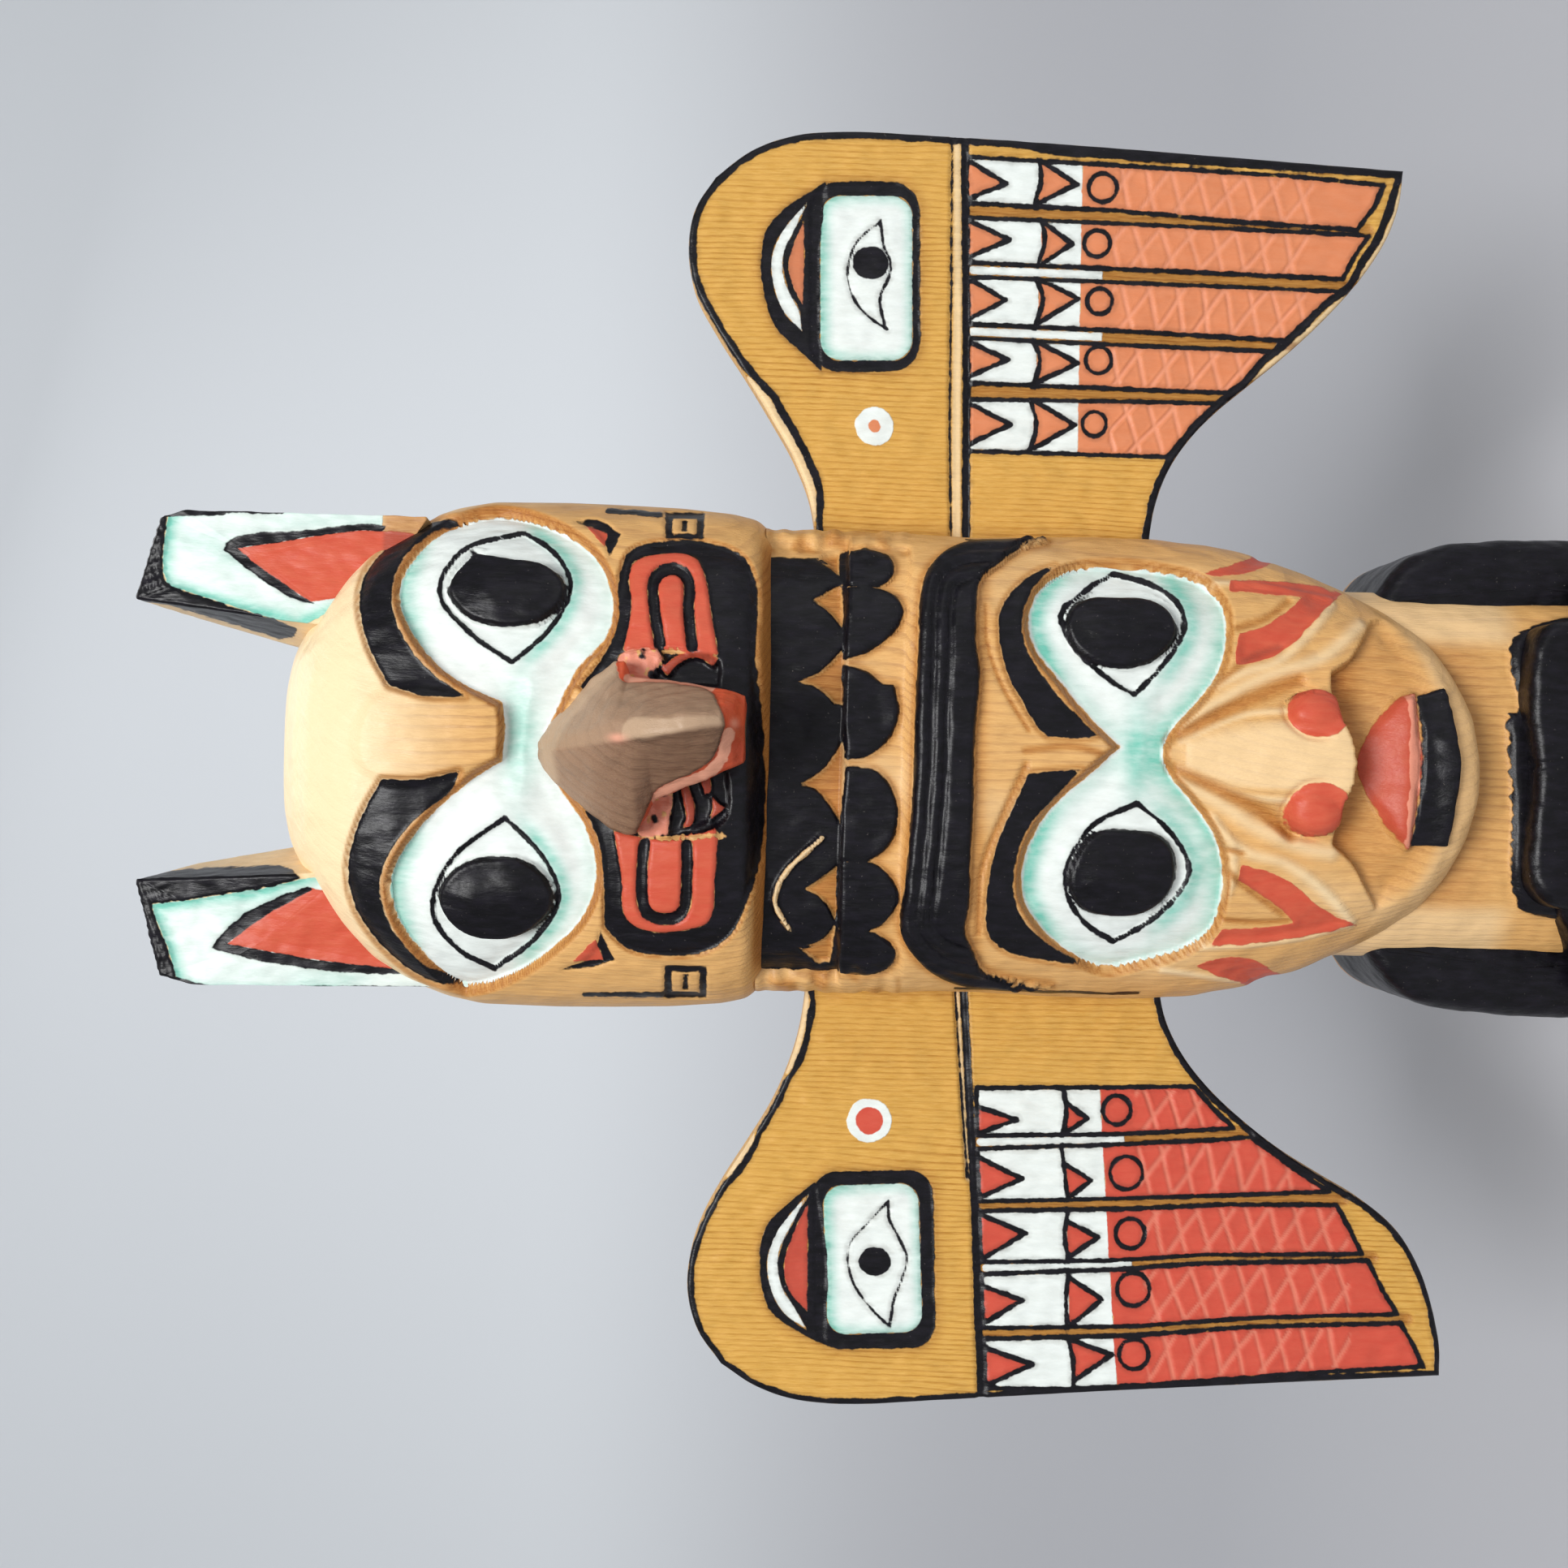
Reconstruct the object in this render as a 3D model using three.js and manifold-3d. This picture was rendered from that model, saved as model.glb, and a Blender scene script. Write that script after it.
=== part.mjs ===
// A small carved and painted totem pole: a thunderbird with two tall ears and two board wings
// sits on the head of a man, who stands on a low base with his hands held to his chest.
// The pole is one solid carved from one block, with the ears, the beak, the arms and the base in it.
// Each wing is a flat board whose root sits in a slot cut in the side of the pole.
// Millimetres. +Z is up and the figures look along -Y. The origin is on the base's underside, midway
// between the sides and 22 mm in front of the flat back.

import * as THREE from "three";
import { mergeVertices } from "three/addons/utils/BufferGeometryUtils.js";
import Module from "manifold-3d";

const wasm = await Module();
wasm.setup();

// Driving dimensions

const WIDEST_Y = -1; // where every section of the pole is widest
const BACK = 23; // from there to the flat back
const BACK_CORNER = 9; // radius of the pole's back edges
const SOCKET_DEPTH = 2.2; // how deep the painted eye masks are hollowed
const PUPIL_LIFT = -0.6; // top of the round pupils against the skin around the mask
const FEATHER_LIFT = 1.1; // chest feathers stand this far proud
const BROW_LIFT = 0.7; // painted brows stand this far proud of the forehead
const RIDGE_LIFT = 1; // ridge between the thunderbird's brows
const LIP_DEPTH = 1; // the thunderbird's red lips are hollowed
const MUZZLE_DEPTH = 2.4; // hollow round the man's mouth
const UPPER_LIP_LIFT = 0.3; // the man's upper lip and mouth stand in that hollow
const MOUTH_LIFT = 1.2;

const BASE = { halfWidth: 44, front: 33, height: 13, chamfer: 1.5, squareness: 4 };
const TRUNK = { halfWidth: 32.5, front: 19, bottom: 10, top: 100, squareness: 3.2 };
const WING = { thickness: 5.3, frontY: 1, rootX: 34.4, slotX: 34, gap: 0.3 };

const FRONT_STEPS = 18; // flats round the front half of a section
const CORNER_STEPS = 3; // and round each back edge
const MASK_STEPS = 62; // corners of an eye mask's outline
const BROW_STEPS = 28; // and of a brow's
const LIP_STEPS = 18; // and of a lip's
const REACH = 80; // a cutter's length from front to back
const THINNEST = 0.01; // no triangle of the finished solids is thinner

// Solids from three.js geometry and back

function solid(geometry) {
  const bare = geometry.clone();
  for (const name of Object.keys(bare.attributes)) {
    if (name !== "position") bare.deleteAttribute(name);
  }
  const merged = mergeVertices(bare, 1e-4);
  return new wasm.Manifold(
    new wasm.Mesh({
      numProp: 3,
      vertProperties: new Float32Array(merged.attributes.position.array),
      triVerts: new Uint32Array(merged.index.array),
    }),
  );
}

// Joins leave triangles too thin to be faces. Close corners are merged, and a triangle that is
// still thinner than THINNEST gives its long edge to its neighbour.
function withoutSlivers(made) {
  const merged = mergeVertices(made, THINNEST / 2);
  const corner = (i) => new THREE.Vector3().fromBufferAttribute(merged.attributes.position, i);
  const faces = [];
  for (let i = 0; i < merged.index.count; i += 3) {
    const face = Array.from(merged.index.array.slice(i, i + 3));
    if (new Set(face).size === 3) faces.push(face);
  }
  for (let pass = 0; pass < 12; pass++) {
    const owner = new Map();
    faces.forEach((face, f) => face.forEach((a, k) => owner.set(`${a},${face[(k + 1) % 3]}`, f)));
    const touched = new Set();
    faces.forEach((face, f) => {
      const sides = face.map((a, k) => corner(a).distanceTo(corner(face[(k + 1) % 3])));
      const k = sides.indexOf(Math.max(...sides));
      const [a, b, c] = [face[k], face[(k + 1) % 3], face[(k + 2) % 3]];
      const double = new THREE.Triangle(corner(a), corner(b), corner(c)).getArea() * 2;
      const g = owner.get(`${b},${a}`);
      if (double / sides[k] > THINNEST || touched.has(f) || touched.has(g)) return;
      const d = faces[g].find((v) => v !== a && v !== b);
      if (owner.has(`${c},${d}`) || owner.has(`${d},${c}`)) return;
      faces[f] = [a, d, c];
      faces[g] = [d, b, c];
      for (const one of [f, g]) touched.add(one);
    });
    if (touched.size === 0) break;
  }
  merged.setIndex(faces.flat());
  return merged;
}

function geometry(manifold) {
  const mesh = manifold.getMesh();
  const made = new THREE.BufferGeometry();
  made.setAttribute("position", new THREE.BufferAttribute(mesh.vertProperties, 3));
  made.setIndex(new THREE.BufferAttribute(mesh.triVerts, 1));
  const flat = withoutSlivers(made).toNonIndexed();
  flat.computeVertexNormals();
  return flat;
}

const joined = (...solids) => solids.reduce((all, one) => all.add(one));
const power = (value, exponent) => Math.sign(value) * Math.abs(value) ** exponent;

// A closed solid through rings of points. Rings run anticlockwise seen from their far end.
function ringSolid(rings) {
  const count = rings[0].length;
  const points = rings.flat();
  const faces = [];
  for (let r = 0; r + 1 < rings.length; r++) {
    for (let i = 0; i < count; i++) {
      const a = r * count + i;
      const b = r * count + ((i + 1) % count);
      faces.push(a, b, b + count, a, b + count, a + count);
    }
  }
  const middle = (ring) =>
    ring.reduce((sum, p) => sum.add(p), new THREE.Vector3()).divideScalar(ring.length);
  const last = (rings.length - 1) * count;
  const start = points.push(middle(rings[0])) - 1;
  const end = points.push(middle(rings.at(-1))) - 1;
  for (let i = 0; i < count; i++) {
    const next = (i + 1) % count;
    faces.push(start, next, i, end, last + i, last + next);
  }
  const made = new THREE.BufferGeometry().setFromPoints(points);
  made.setIndex(faces);
  return solid(made);
}

// One level section of the pole: a rounded front, and a flat back with rounded edges.
function section({ z, halfWidth, front, squareness, back = BACK }) {
  const ring = [];
  for (let i = 0; i < FRONT_STEPS; i++) {
    const angle = Math.PI + (Math.PI * i) / FRONT_STEPS;
    const x = halfWidth * power(Math.cos(angle), 2 / squareness);
    const y = WIDEST_Y + front * power(Math.sin(angle), 2 / squareness);
    ring.push(new THREE.Vector3(x, y, z));
  }
  const radius = Math.min(BACK_CORNER, halfWidth / 2, back / 2);
  const corner = Array.from({ length: CORNER_STEPS + 1 }, (_, i) => {
    const angle = (Math.PI * i) / (2 * CORNER_STEPS);
    return [halfWidth - radius * (1 - Math.cos(angle)), back - radius * (1 - Math.sin(angle))];
  });
  ring.push(new THREE.Vector3(halfWidth, WIDEST_Y, z));
  for (const [x, y] of corner) ring.push(new THREE.Vector3(x, WIDEST_Y + y, z));
  for (const [x, y] of corner.toReversed()) ring.push(new THREE.Vector3(-x, WIDEST_Y + y, z));
  return ring;
}

// The block under a figure's skin. lift moves the whole skin out or in.
function carvedBlock(stations, lift = 0) {
  const rings = stations.map(([z, halfWidth, front, back = BACK], i) => {
    const end = i === 0 || i === stations.length - 1;
    return section({
      z: end ? z + Math.sign(i - 0.5) * Math.max(lift, 0) : z,
      halfWidth: Math.max(halfWidth + lift, 0.5),
      front: Math.max(front + lift, 0.5),
      back,
      squareness: stations.squareness,
    });
  });
  return ringSolid(rings);
}

// Outlines are drawn as seen from the front: x to the right, z up.

function smoothOutline(points, steps) {
  const curve = new THREE.CatmullRomCurve3(
    points.map(([x, z]) => new THREE.Vector3(x, z, 0)),
    true,
    "centripetal",
  );
  const shape = new THREE.Shape(
    curve.getSpacedPoints(steps).slice(0, -1).map((p) => new THREE.Vector2(p.x, p.y)),
  );
  return shape;
}

function oval([x, z], radiusX, radiusZ, squareness = 2, steps = 20) {
  const points = [];
  for (let i = 0; i < steps; i++) {
    const angle = (2 * Math.PI * i) / steps;
    const c = Math.cos(angle);
    const s = Math.sin(angle);
    points.push(
      new THREE.Vector2(
        x + radiusX * power(c, 2 / squareness),
        z + radiusZ * power(s, 2 / squareness),
      ),
    );
  }
  return new THREE.Shape(points);
}

const polygon = (points) => new THREE.Shape(points.map(([x, z]) => new THREE.Vector2(x, z)));

// An outline extruded from the plane y = back forwards to y = front.
function slab(shape, front, back) {
  const made = new THREE.ExtrudeGeometry(shape, { depth: back - front, bevelEnabled: false });
  made.rotateX(Math.PI / 2);
  made.translate(0, back, 0);
  return solid(made);
}

const frontal = (shape) => slab(shape, -REACH, WIDEST_Y - 2);
const raised = (shape, stations, lift) => frontal(shape).intersect(carvedBlock(stations, lift));
const hollowed = (block, shape, stations, depth) =>
  block.subtract(frontal(shape).subtract(carvedBlock(stations, -depth)));

// Thunderbird's head. Stations are [z, half width, front depth, back depth].

const HEAD = [
  [191, 40.5, 27.5],
  [193.5, 41.8, 30.5],
  [198, 43, 31.5],
  [207, 44, 31.5],
  [218, 44.3, 30],
  [227, 44.5, 28.6],
  [240, 44.3, 28.6],
  [246, 43.2, 28.6],
  [252, 41, 28.4],
  [258, 37.5, 27.4],
  [263, 32.5, 25],
  [267.5, 27, 21.5],
  [271.5, 22.5, 16, 22.5],
  [275, 18.5, 9, 21.5],
  [277, 15.5, 3.5, 19],
];
HEAD.squareness = 2.5;

const BIRD_MASK = [
  [3, 235], [-2.5, 235.3], [-6, 240.5], [-11, 246.5], [-16, 251], [-22, 253.4], [-28, 252.6],
  [-35, 247], [-40, 240], [-35.5, 229.5], [-30, 223.3], [-23, 219.3], [-15, 220.3], [-7, 224.8],
  [0, 228.3], [5, 227.5], [13, 223.5], [19, 218.8], [26, 217.4], [33, 220.6], [38.5, 229],
  [39.8, 236], [38, 244], [33, 250.6], [26, 253.3], [19, 250.6], [13, 245], [8, 235.4],
];
const BIRD_PUPILS = [
  { at: [-24.8, 235.6], radiusX: 7.6, radiusZ: 10.1 },
  { at: [27, 235], radiusX: 6.3, radiusZ: 10.2 },
];
const BIRD_BROWS = [
  [
    [-40.3, 240], [-37.5, 246.5], [-32, 254.8], [-26, 259.6], [-20, 260.5], [-12, 258.7],
    [-5.2, 255.2], [-5, 249], [-3.8, 242.3], [-9, 246.8], [-14, 251.8], [-20, 255], [-27, 255.2],
    [-34, 250.5],
  ],
  [
    [39.6, 242], [38, 248.5], [34.5, 254.8], [30, 258.7], [24.5, 259.8], [17, 258.4],
    [10.5, 254.5], [9, 249], [9.2, 242.2], [13, 247.5], [18.5, 252.3], [25, 254.3],
    [32, 252.4], [36.5, 247],
  ],
];
const MOUTH_CORNERS = [
  [[-13.5, 214.6], [-28, 213], [-29.7, 207], [-28, 200.5], [-13, 198.8]],
  [[13.5, 200], [32, 202], [33.6, 207.5], [32, 213.6], [13.5, 215]],
];
const NOSE_RIDGE = [[-2.8, 234.8], [8, 234.8], [8, 240], [6.5, 258], [-3.2, 258], [-3.2, 240]];

// The beak: level rows from its root down to its hooked tip.
// Each row is [z, middle x, half width, ridge y, edge y].
const BEAK_ROWS = [
  [196, 4.4, 3.4, -46.5, -44.5],
  [198.5, 4.2, 5.2, -50, -43.5],
  [203, 3.6, 7, -51.5, -40.5],
  [207.5, 2.8, 8.6, -50, -37],
  [211, 1.6, 12.2, -47.8, -33.5],
  [215.5, 0.8, 12.8, -44.3, -31.5],
  [221, 0.5, 8.6, -38.5, -29.6],
  [226, 0.2, 3.8, -32, -28.5],
  [228.6, 0, 1.2, -28.2, -27],
];
const BEAK = {
  ridge: 0.9, // half width of the flat ridge
  swell: 1.2, // each side swells this far, at this share of the half width
  swellAt: 0.62,
  root: 5, // sunk behind the edges
  rootFront: -24,
  middleFront: -30,
};

function beak() {
  const rings = BEAK_ROWS.map(([z, x, half, ridge, edge]) => {
    const swell = (ridge + edge) / 2 - BEAK.swell;
    const swellX = half * BEAK.swellAt;
    const rear = Math.min(edge + BEAK.root, BEAK.rootFront);
    return [
      [x - half * 0.9, rear], [x - half, edge], [x - swellX, swell], [x - BEAK.ridge, ridge],
      [x + BEAK.ridge, ridge], [x + swellX, swell], [x + half, edge], [x + half * 0.9, rear],
      [x, Math.max(rear, BEAK.middleFront)],
    ].map(([px, py]) => new THREE.Vector3(px, py, z));
  });
  return ringSolid(rings);
}

// Ears: a painted front face that leans back, and a wider rear face.
const EARS = [
  {
    front: [
      [20.2, 262, -17], [40, 250, -15], [40.6, 292.6, -12.5], [39.4, 297, -12],
      [25, 300.8, -12.5],
    ],
    rear: [[14.5, 262, 6], [38, 250, 8], [39, 290, 4], [38, 294, 3], [23.6, 296.5, 3]],
  },
  {
    front: [
      [-40.6, 240, -13], [-21.6, 262, -17], [-23.4, 299.6, -12.5], [-39.8, 295.3, -12],
      [-41.4, 289.4, -12.5],
    ],
    rear: [[-38, 240, 8], [-15.5, 262, 6], [-21.4, 295, 3], [-38.4, 291.4, 3], [-39.4, 286.5, 4]],
  },
];

function ear({ front, rear }) {
  const ring = (face) => face.map(([x, z, y]) => new THREE.Vector3(x, y, z));
  return ringSolid([ring(rear), ring(front)]);
}

function birdHead() {
  let head = carvedBlock(HEAD);
  for (const brow of BIRD_BROWS) {
    head = head.add(raised(smoothOutline(brow, BROW_STEPS), HEAD, BROW_LIFT));
  }
  head = hollowed(head, smoothOutline(BIRD_MASK, MASK_STEPS), HEAD, SOCKET_DEPTH);
  for (const { at, radiusX, radiusZ } of BIRD_PUPILS) {
    head = head.add(raised(oval(at, radiusX, radiusZ, 2.4), HEAD, PUPIL_LIFT));
  }
  for (const corner of MOUTH_CORNERS) {
    head = hollowed(head, smoothOutline(corner, LIP_STEPS), HEAD, LIP_DEPTH);
  }
  head = head.add(raised(polygon(NOSE_RIDGE), HEAD, RIDGE_LIFT));
  return joined(head, beak(), ...EARS.map(ear));
}

// Thunderbird's chest: two rows of round-ended feathers, the lower row a step further out.

const CHEST = [
  [166, 40.5, 27.6],
  [168.5, 40.7, 26.2],
  [178.4, 40.7, 26],
  [178.7, 40.7, 23.8],
  [192, 40.7, 24],
];
CHEST.squareness = 3;
const FEATHER_ROWS = [
  { bottom: 178.9, top: 192, edges: [-33.5, -30.5, -21.5, -4.5, 12.5, 26.2, 33] },
  { bottom: 169.3, top: 178.4, edges: [-35, -28, -16.5, -0.5, 16, 28.5, 34.5] },
];

const FEATHER = { round: 6.5, roundShare: 0.95, steps: 7, gap: 0.3 };

function feather(left, right, bottom, top) {
  const half = (right - left) / 2;
  const round = Math.min(half * FEATHER.roundShare, FEATHER.round);
  const points = [new THREE.Vector2(left, top)];
  for (let i = 0; i <= FEATHER.steps; i++) {
    const angle = Math.PI + (Math.PI * i) / FEATHER.steps;
    const x = left + half + half * Math.cos(angle);
    points.push(new THREE.Vector2(x, bottom + round + round * Math.sin(angle)));
  }
  points.push(new THREE.Vector2(right, top));
  return new THREE.Shape(points);
}

function birdChest() {
  let chest = carvedBlock(CHEST);
  for (const { bottom, top, edges } of FEATHER_ROWS) {
    for (let i = 0; i + 1 < edges.length; i++) {
      const shape = feather(edges[i] + FEATHER.gap / 2, edges[i + 1] - FEATHER.gap / 2, bottom, top);
      chest = chest.add(raised(shape, CHEST, FEATHER_LIFT));
    }
  }
  return chest;
}

// The man's ribbed headband, which runs level over the brow and falls along both temples.

const BAND = {
  middle: 162,
  height: 11,
  ribs: 4,
  proud: 2.6, // crests of the ribs, and the grooves between them are this much lower
  groove: 1.3,
  halfWidth: 39.6, // the line that the band follows round the brow
  front: 28.4,
  squareness: 2.9,
  rear: 1.5, // it ends this far behind the widest line
  corner: 27, // past this far along from the middle the band falls, at this slope
  fall: 0.9,
  inner: 0.85, // its hidden inner wall, as a share of the way out
  steps: 26,
};

function headband() {
  const { halfWidth, front, squareness, rear, proud, groove: low, height, ribs } = BAND;
  const path = [];
  let along = 0;
  for (let i = 0; i <= BAND.steps; i++) {
    const angle = (Math.PI * i) / (2 * BAND.steps);
    const x = halfWidth * power(Math.sin(angle), 2 / squareness);
    const y = WIDEST_Y + rear - (front + rear) * power(Math.cos(angle), 2 / squareness);
    if (i > 0) along += Math.hypot(x - path[i - 1].x, y - path[i - 1].y);
    path.push({ x, y, drop: Math.max(0, along - BAND.corner) * BAND.fall });
  }
  const both = [...path.slice(1).reverse().map((p) => ({ ...p, x: -p.x })), ...path];
  const rings = [];
  for (let i = 0; i < both.length; i++) {
    if (i % 2 && i !== both.length - 1) continue;
    const { x, y, drop } = both[i];
    const away = new THREE.Vector2(x / halfWidth ** 1.2, (y - WIDEST_Y) / front ** 1.2).normalize();
    const outer = (out, up) =>
      new THREE.Vector3(x + away.x * out, y + away.y * out, BAND.middle + up - drop);
    const inner = (up) => new THREE.Vector3(x * BAND.inner, y * BAND.inner, BAND.middle + up - drop);
    const ring = [inner(-height / 2)];
    for (let rib = 0; rib <= 2 * ribs; rib++) {
      const up = height * (rib / (2 * ribs) - 0.5);
      ring.push(outer(rib % 2 ? proud : proud - low, up));
    }
    ring.push(inner(height / 2));
    rings.push(ring);
  }
  return ringSolid(rings.reverse());
}

// The man's head, narrowing to a round chin.

const FACE = [
  [73.8, 9, 24.5],
  [74.8, 16, 26.8],
  [77.5, 22, 27.8],
  [81, 26.2, 28],
  [86, 29.6, 28],
  [91, 32, 28],
  [98, 35.2, 28],
  [106, 38, 28],
  [115, 40, 28],
  [124, 40.8, 27.8],
  [136, 40.8, 27.6],
  [148, 40.4, 27.8],
  [158, 40, 28],
  [167, 40, 27],
];
FACE.squareness = 2.6;

const FACE_MASK = [
  [2.6, 132.2], [0, 134], [-4, 138.5], [-9, 143.8], [-14, 147], [-20, 148.2], [-25, 146.8],
  [-30, 141.8], [-33.3, 135], [-31.5, 128], [-28, 121.6], [-23, 118], [-17, 116.4],
  [-10, 118.2], [-5, 121.8], [-1, 125.4], [2.6, 126.6], [7, 124.8], [12, 121], [17, 117.6],
  [23, 116.3], [28.5, 118.3], [32, 123.5], [33.6, 131], [33.5, 139], [30.5, 145.3],
  [25, 147.8], [19, 145.9], [13, 141], [7, 135.4],
];
const FACE_PUPILS = [
  { at: [-17.8, 131.6], radiusX: 7.3, radiusZ: 8.9 },
  { at: [22.5, 132.3], radiusX: 6.6, radiusZ: 9.4 },
];
const FACE_BROWS = [
  [
    [-33, 137.4], [-32, 145], [-29.7, 151.8], [-25, 153.7], [-18, 153.2], [-10, 150.7],
    [-1.6, 147.6], [-0.9, 143], [-0.6, 138.8], [-5, 143], [-11, 147.8], [-18, 149.3],
    [-25, 147.7], [-30, 142.4],
  ],
  [
    [4.8, 136.2], [4.8, 141], [5, 145.3], [12, 149.2], [19, 152.3], [25, 152.6],
    [30, 149.5], [32.8, 144], [28, 148], [22, 148.9], [15, 145.5], [9, 140.2],
  ],
];
const MUZZLE = [
  [-23, 88], [-17, 93.4], [-12, 98.3], [0, 97.4], [14, 98.8], [20, 94.6], [26, 89.4], [24, 83.4],
  [14, 80.4], [0, 79.2], [-14, 80.2], [-22, 84],
];
const UPPER_LIP = [[-12, 86], [0, 85], [12.6, 86], [9, 90], [1.8, 94], [-6, 91]];
const MOUTH = [[-11.6, 80], [1.6, 79.2], [13.7, 80.8], [12.8, 85.5], [0, 84.6], [-12, 85.8]];
// Rows of the nose: [z, left x, right x, y of the flat ridge].
const NOSE_ROWS = [
  [96.8, -11.6, 14.8, -33.4],
  [99, -11.8, 15, -34.2],
  [104, -10.6, 13.8, -33.6],
  [111, -8.2, 11.6, -32],
  [118, -5.2, 8.6, -30.2],
  [126, -1.4, 5.2, -27],
];
// Its sides run forward from rear to foot, then in to a ridge that is flat for this share.
const NOSE = { rear: -20, foot: -26.6, flat: 0.6 };
const NOSTRIL = { places: [[-6.2, 101.6], [9.4, 102]], radius: 4, out: 3.6, y: -30 };

function nose() {
  const { rear, foot, flat } = NOSE;
  const rings = NOSE_ROWS.map(([z, left, right, ridge]) => {
    const middle = (left + right) / 2;
    const half = ((right - left) / 2) * flat;
    return [
      [left, rear], [left, foot], [middle - half, ridge], [middle + half, ridge], [right, foot],
      [right, rear],
    ].map(([x, y]) => new THREE.Vector3(x, y, z));
  });
  return ringSolid(rings);
}

function nostril([x, z]) {
  const { radius, out, y } = NOSTRIL;
  return solid(new THREE.SphereGeometry(1, 12, 6).scale(radius, out, radius).translate(x, y, z));
}

function manHead() {
  let head = carvedBlock(FACE);
  for (const brow of FACE_BROWS) {
    head = head.add(raised(smoothOutline(brow, BROW_STEPS), FACE, BROW_LIFT));
  }
  head = hollowed(head, smoothOutline(FACE_MASK, MASK_STEPS), FACE, SOCKET_DEPTH);
  for (const { at, radiusX, radiusZ } of FACE_PUPILS) {
    head = head.add(raised(oval(at, radiusX, radiusZ, 2.8), FACE, PUPIL_LIFT));
  }
  head = hollowed(head, smoothOutline(MUZZLE, BROW_STEPS), FACE, MUZZLE_DEPTH);
  head = head.add(raised(smoothOutline(UPPER_LIP, LIP_STEPS), FACE, UPPER_LIP_LIFT));
  head = head.add(raised(polygon(MOUTH), FACE, MOUTH_LIFT));
  return joined(head, nose(), ...NOSTRIL.places.map(nostril), headband());
}

// The man's body: arms down both sides, forearms raised to two hands on the chest, bent knees.

const ARM = [
  [29, 86], [33.5, 84.4], [37.4, 81], [39.8, 76], [40.8, 70], [41, 44], [39.5, 38], [35, 34.5],
  [29, 34.5],
];
const FOREARM = [
  [12, 53], [13.5, 47.8], [22, 40.4], [30, 34.2], [36.5, 34.8], [40.2, 40], [39.6, 47], [31, 52.4],
  [20, 58.4], [13, 58],
];
const ARM_DEPTH = [-13, 12]; // front and rear y of the arms
const FOREARM_DEPTH = [-22.4, -7];
const INSIDE_Y = -10; // hands, legs and feet run back to here, inside the trunk
const HANDS = {
  left: -21.5,
  right: 25.5,
  bottom: 47,
  top: 64.6,
  corner: 3,
  front: -25.4,
  fingers: 4, // of each hand
  gap: 1, // between fingers
  gapDepth: 1,
  gapFoot: 6, // the gaps between fingers start this far up
  palmDepth: 2, // the gap between the two hands
};
const KNEE = { x: 17, halfWidth: 10.5, bottom: 13, top: 41, front: -28.5, squareness: 3.4 };
const FOOT = { x: 18, halfWidth: 9.5, z: 14.5, radiusZ: 5.5, front: -32, squareness: 3 };

const mirrored = (points) => points.map(([x, z]) => [-x, z]).reverse();

function arm(side) {
  const outline = side > 0 ? ARM : mirrored(ARM);
  const forearm = side > 0 ? FOREARM : mirrored(FOREARM);
  const bent = slab(smoothOutline(forearm, 20), ...FOREARM_DEPTH);
  return joined(slab(polygon(outline), ...ARM_DEPTH), bent);
}

function hands() {
  const { left, right, bottom, top, corner, front, fingers, gap } = HANDS;
  let pair = slab(
    polygon([
      [left, bottom], [right, bottom], [right, top - corner], [right - corner, top],
      [left + corner, top], [left, top - corner],
    ]),
    front,
    INSIDE_Y,
  );
  for (let i = 1; i < 2 * fingers; i++) {
    const x = left + ((right - left) * i) / (2 * fingers);
    const between = i === fingers;
    const low = between ? bottom - 1 : bottom + HANDS.gapFoot;
    const deep = between ? HANDS.palmDepth : HANDS.gapDepth;
    const cut = polygon([
      [x - gap / 2, low], [x + gap / 2, low], [x + gap / 2, top + 1], [x - gap / 2, top + 1],
    ]);
    pair = pair.subtract(slab(cut, front - 1, front + deep));
  }
  return pair;
}

function leg(side) {
  const { x, halfWidth, bottom, top, front, squareness } = KNEE;
  const middle = [side * x, (bottom + top) / 2];
  const shin = oval(middle, halfWidth, (top - bottom) / 2 + 1, squareness);
  const foot = oval([side * FOOT.x, FOOT.z], FOOT.halfWidth, FOOT.radiusZ, FOOT.squareness, 14);
  return slab(shin, front, INSIDE_Y).add(slab(foot, FOOT.front, INSIDE_Y));
}

function manBody() {
  const { halfWidth, front, bottom, top, squareness } = TRUNK;
  const rings = [bottom, 40, 60, top].map((z) => section({ z, halfWidth, front, squareness }));
  return joined(ringSolid(rings), arm(-1), arm(1), hands(), leg(-1), leg(1));
}

function base() {
  const { halfWidth, front, height, chamfer, squareness } = BASE;
  const ring = (z, inset) =>
    section({
      z,
      halfWidth: halfWidth - inset,
      front: front - inset,
      squareness,
      back: BACK - inset / 2,
    });
  return ringSolid([ring(0, 0), ring(height - chamfer, 0), ring(height, chamfer)]);
}

// Wings. Each outline runs from the root's top corner over the shoulder to the tip and back.

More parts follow.
